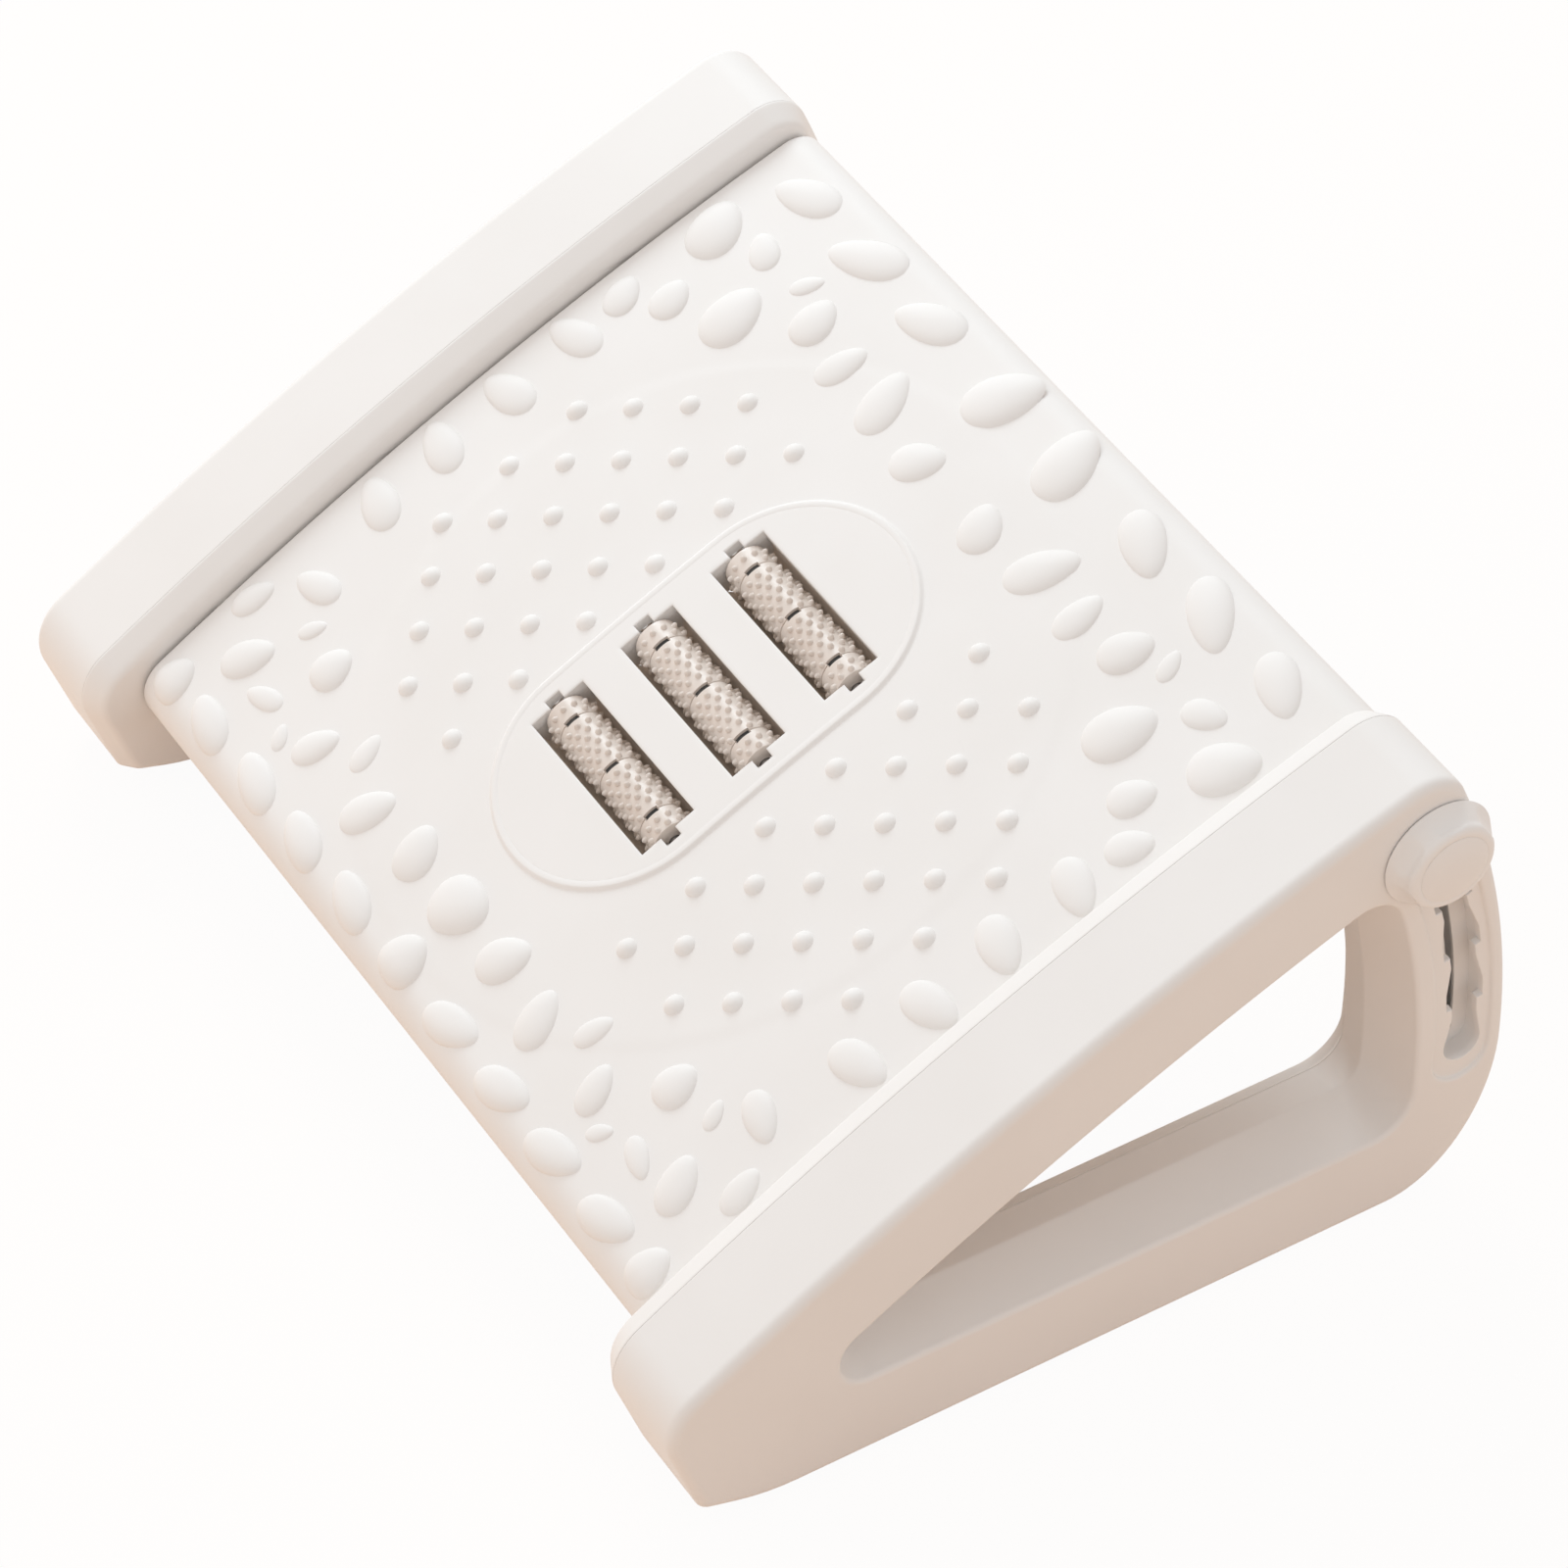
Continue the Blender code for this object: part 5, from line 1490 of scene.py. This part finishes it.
def railPiece(name, side):
    high = -footplate["wall"] - gap
    notch = roller["axle"] + gap
    half = rail["halfLength"]
    outline = [(-half + 2 * half * i / 24, -rail["depth"]) for i in range(25)] + [(half, high)]
    for s in reversed(slotPlaces):
        bearingSeat = arc((s, -rollerField["axleDrop"]), notch, 0, -pi, 16)
        outline += [(s + notch, high), *bearingSeat, (s - notch, high)]
    outline.append((-half, high))
    start = rollerField["slotLength"] / 2 + gap
    bm = bmesh.new()
    prism(bm, [skin(s, n) for s, n in outline], side * start, side * (start + rail["width"]))
    return pieceFrom(bm, name, plateWhite)


dress(rodPiece("tilt_rod"), "side_frames", "steel", "front_rod")
for word, side in bothSides:
    dress(bushPiece(word + "_bush", side), "footplate", "nylon", word + "_rod_bush")
    dress(washerPiece(word + "_washer", side), "footplate", "nylon", word + "_slide_washer")
    dress(railPiece(word + "_rail", side), "footplate", "white_plastic", word + "_roller_rail")
print("rod, bushes and rails made")


# Screws and pads

shellScrew = {"head": 0.0036, "headHeight": 0.0026, "shank": 0.0016, "shankLength": 0.016}
railScrew = {"head": 0.003, "headHeight": 0.002, "shank": 0.0013, "shankLength": 0.0105}
screwShape = {"dome": 1.4, "domeDrop": 0.55, "crossEdge": 0.72, "crossDepth": 0.45}
pad = {
    "thickness": 0.0012,
    "width": 0.017,
    "length": 0.044,
    "corner": 0.005,
    "shares": (0.19, 0.80),
    "ribs": 9.0,
    "ribRise": 0.0004,
}


def screwTree(look):
    # A pan head with a cross recess on a shank, pointing along each place's direction
    graph = nodeTree("screws", (), ("head", "headHeight", "shank", "shankLength"))
    headHeight = graph.given("headHeight")
    grid, t, turn = roundGrid(graph, 11, 33)
    t = t * 10
    # Rings 0 to 6 dome the head, 7 is its underside, 8 and 9 the shank and 10 closes the tip
    onHead = t < 6.5
    share = t / 6
    headRadius = graph.given("head") * (1 - (1 - share) ** screwShape["dome"]) * onHead
    shankRadius = graph.given("shank") * (t > 6.5) * (t < 9.5)
    crossed = ((2 * turn).cosine() ** 2 > screwShape["crossEdge"]) * (t < 3.5) * onHead
    domed = 1 - screwShape["domeDrop"] * share ** 3
    headTop = headHeight * domed * onHead - crossed * headHeight * screwShape["crossDepth"]
    shankLow = graph.given("shankLength") * -1.0 * (t > 7.5)
    atEdge = (t > 5.5) * onHead
    height = headTop * (1 - atEdge) + shankLow * (1 - onHead)
    screw = rolled(graph, grid, headRadius + shankRadius, turn, height)
    return endTree(graph, copiedOutward(graph, screw), look)


def padTree(look):
    # Flat pads with rounded ends and cross ribs under them, from the grid of a unit cube's faces
    labels = ("width", "length", "corner", "thickness", "ribs", "ribRise")
    graph = nodeTree("ribbed_pads", (), labels)
    width, length, corner, thickness, ribs, ribRise = (graph.given(label) for label in labels)
    box = graph.node("GeometryNodeMeshCube", Size=(1.0, 1.0, 1.0), Vertices_X=9, Vertices_Y=73, Vertices_Z=2)
    x, y, z = position(graph)
    up = y * length
    # Corners are rounded by drawing the ends in
    far = up.absolute() - (length * 0.5 - corner)
    over = far * (far > 0) / corner
    left = 1 - over * over
    curve = (left * (left > 0)).root()
    narrow = (width * 0.5 - corner * (1 - curve)) / (width * 0.5)
    wave = (y * ribs * (2 * pi)).cosine() * 0.5 + 0.5
    height = z * thickness + thickness * 0.5 + (z < 0) * (1 - wave) * ribRise
    shape = moved(graph, graph.out(box), x * width * narrow, up, height)
    return endTree(graph, copied(graph, shape), look)


panTree = screwTree(steelBright)
seat = innerX + shellPosts["headWayDepth"] - gap
points = [(side * seat, *place) for _, side in bothSides for place in postPlaces()]
outward = [(-side, 0.0, 0.0) for _, side in bothSides for place in postPlaces()]
nodes = [f"{word}_shell_screw_{i}" for word, _ in bothSides for i in (1, 2, 3, 4)]
screws = growCopies("frame_screws", panTree, points, {"outward": outward}, shellScrew)
dress(screws, "side_frames", "steel", *nodes)

screwX = rollerField["slotLength"] / 2 + gap + rail["width"] / 2
screwS = rail["halfLength"] - rail["screwInset"]
points = []
outward = []
for x, s in ((side * screwX, end * screwS) for side in (-1, 1) for end in (-1, 1)):
    y, z = skin(s, -rail["depth"] - gap)
    hub = skin(s, -rail["depth"] * 2)
    points.append((x, y, z))
    outward.append((0.0, (hub[0] - y) / rail["depth"], (hub[1] - z) / rail["depth"]))
screws = growCopies("rail_screws", panTree, points, {"outward": outward}, railScrew)
dress(screws, "footplate", "steel", *[f"rail_screw_{i}" for i in (1, 2, 3, 4)])

padX = (innerX + faceX) / 2
padY = [frontY + (rearY - frontY) * share for share in pad["shares"]]
points = [(side * padX, y, 0.0) for _, side in bothSides for y in padY]
nodes = [f"{word}_{end}_pad" for word, _ in bothSides for end in ("front", "rear")]
dress(growCopies("frame_pads", padTree(rubberAndSlitShade), points, {}, pad), "side_frames", "rubber", *nodes)
print("screws and pads made")


# Floor, light and camera

studio = {
    "floorHalf": 3.0,
    "floorDrop": 0.0002,
    "floorSpeck": (3.0, 2.0),
    "floorStops": ((0.3, (0.96, 0.71, 0.53)), (0.7, (0.9312, 0.6887, 0.5141))),
    "floorWhite": 0.95,
    "worldWarm": (1.0, 0.955, 0.93, 1),
    "worldStrength": 0.735,
    "target": (0.0, 0.0, 0.1),
    "cameraPlace": (1.4956, -0.9003, 1.7804),
    "cameraAim": (-0.6106, 0.3742, -0.6980),
    "lens": 158.7,
}
lamps = {
    "key": {"place": (-2.05, 0.7, 1.95), "size": 1.3, "power": 35.5, "colour": (0.81, 0.93, 1.0)},
    "fill": {"place": (-1.3, -1.7, 1.7), "size": 2.0, "power": 10.5, "colour": (1, 1, 1)},
}
pureWhite = (1, 1, 1, 1)


def whiteWhereSeen(graph, plain, bright, share, end):
    # Bright where the camera sees it, also in a reflection, and plain for the light that it gives
    rays = graph.node("ShaderNodeLightPath")
    seen = sum(graph.out(rays, f"Is {kind} Ray") for kind in ("Camera", "Glossy", "Transmission"))
    mix = graph.node("ShaderNodeMixShader", Fac=(seen > 0.5) * share)
    graph.feed(mix.inputs[1], graph.out(plain))
    graph.feed(mix.inputs[2], graph.out(bright))
    graph.feed(graph.node(end).inputs["Surface"], graph.out(mix))


def emptied(owner):
    # The node tree of a material or a world, without its first nodes
    owner.use_nodes = True
    owner.node_tree.nodes.clear()
    return Graph(owner.node_tree)


def floorMaterial():
    made = bpy.data.materials.new("floor_white")
    graph = emptied(made)
    place = graph.out(graph.node("ShaderNodeTexCoord"), "Object")
    speck = noise(graph, place, *studio["floorSpeck"])
    ramp = graph.node("ShaderNodeValToRGB", {"stops": studio["floorStops"]}, Fac=speck)
    matt = graph.node("ShaderNodeBsdfDiffuse", Color=graph.out(ramp))
    glow = graph.node("ShaderNodeEmission", Color=pureWhite, Strength=1.0)
    whiteWhereSeen(graph, matt, glow, studio["floorWhite"], "ShaderNodeOutputMaterial")
    return made


half = studio["floorHalf"]
floorMesh = bpy.data.meshes.new("floor")
corners = [(x * half, y * half, -studio["floorDrop"]) for x, y in ((-1, -1), (1, -1), (1, 1), (-1, 1))]
floorMesh.from_pydata(corners, [], [(0, 1, 2, 3)])
floorMesh.materials.append(floorMaterial())
floor = bpy.data.objects.new("floor", floorMesh)
bpy.context.scene.collection.objects.link(floor)

world = bpy.data.worlds.new("studio")
bpy.context.scene.world = world
graph = emptied(world)
soft = graph.node("ShaderNodeBackground", Color=studio["worldWarm"], Strength=studio["worldStrength"])
bright = graph.node("ShaderNodeBackground", Color=pureWhite, Strength=1.0)
whiteWhereSeen(graph, soft, bright, 1.0, "ShaderNodeOutputWorld")


def aimed(name, data, place, direction):
    holder = bpy.data.objects.new(name, data)
    holder.location = place
    holder.rotation_euler = Vector(direction).to_track_quat("-Z", "Y").to_euler()
    bpy.context.scene.collection.objects.link(holder)
    return holder


for name, values in lamps.items():
    lamp = bpy.data.lights.new(name, "AREA")
    lamp.shape = "SQUARE"
    lamp.size = values["size"]
    lamp.energy = values["power"]
    lamp.color = values["colour"]
    aimed(name, lamp, values["place"], Vector(studio["target"]) - Vector(values["place"]))

lens = bpy.data.cameras.new("camera")
lens.lens = studio["lens"]
lens.sensor_width = 36
lens.clip_end = 50
bpy.context.scene.camera = aimed("camera", lens, studio["cameraPlace"], studio["cameraAim"])
bpy.context.scene.view_settings.view_transform = "Standard"
print("studio set")
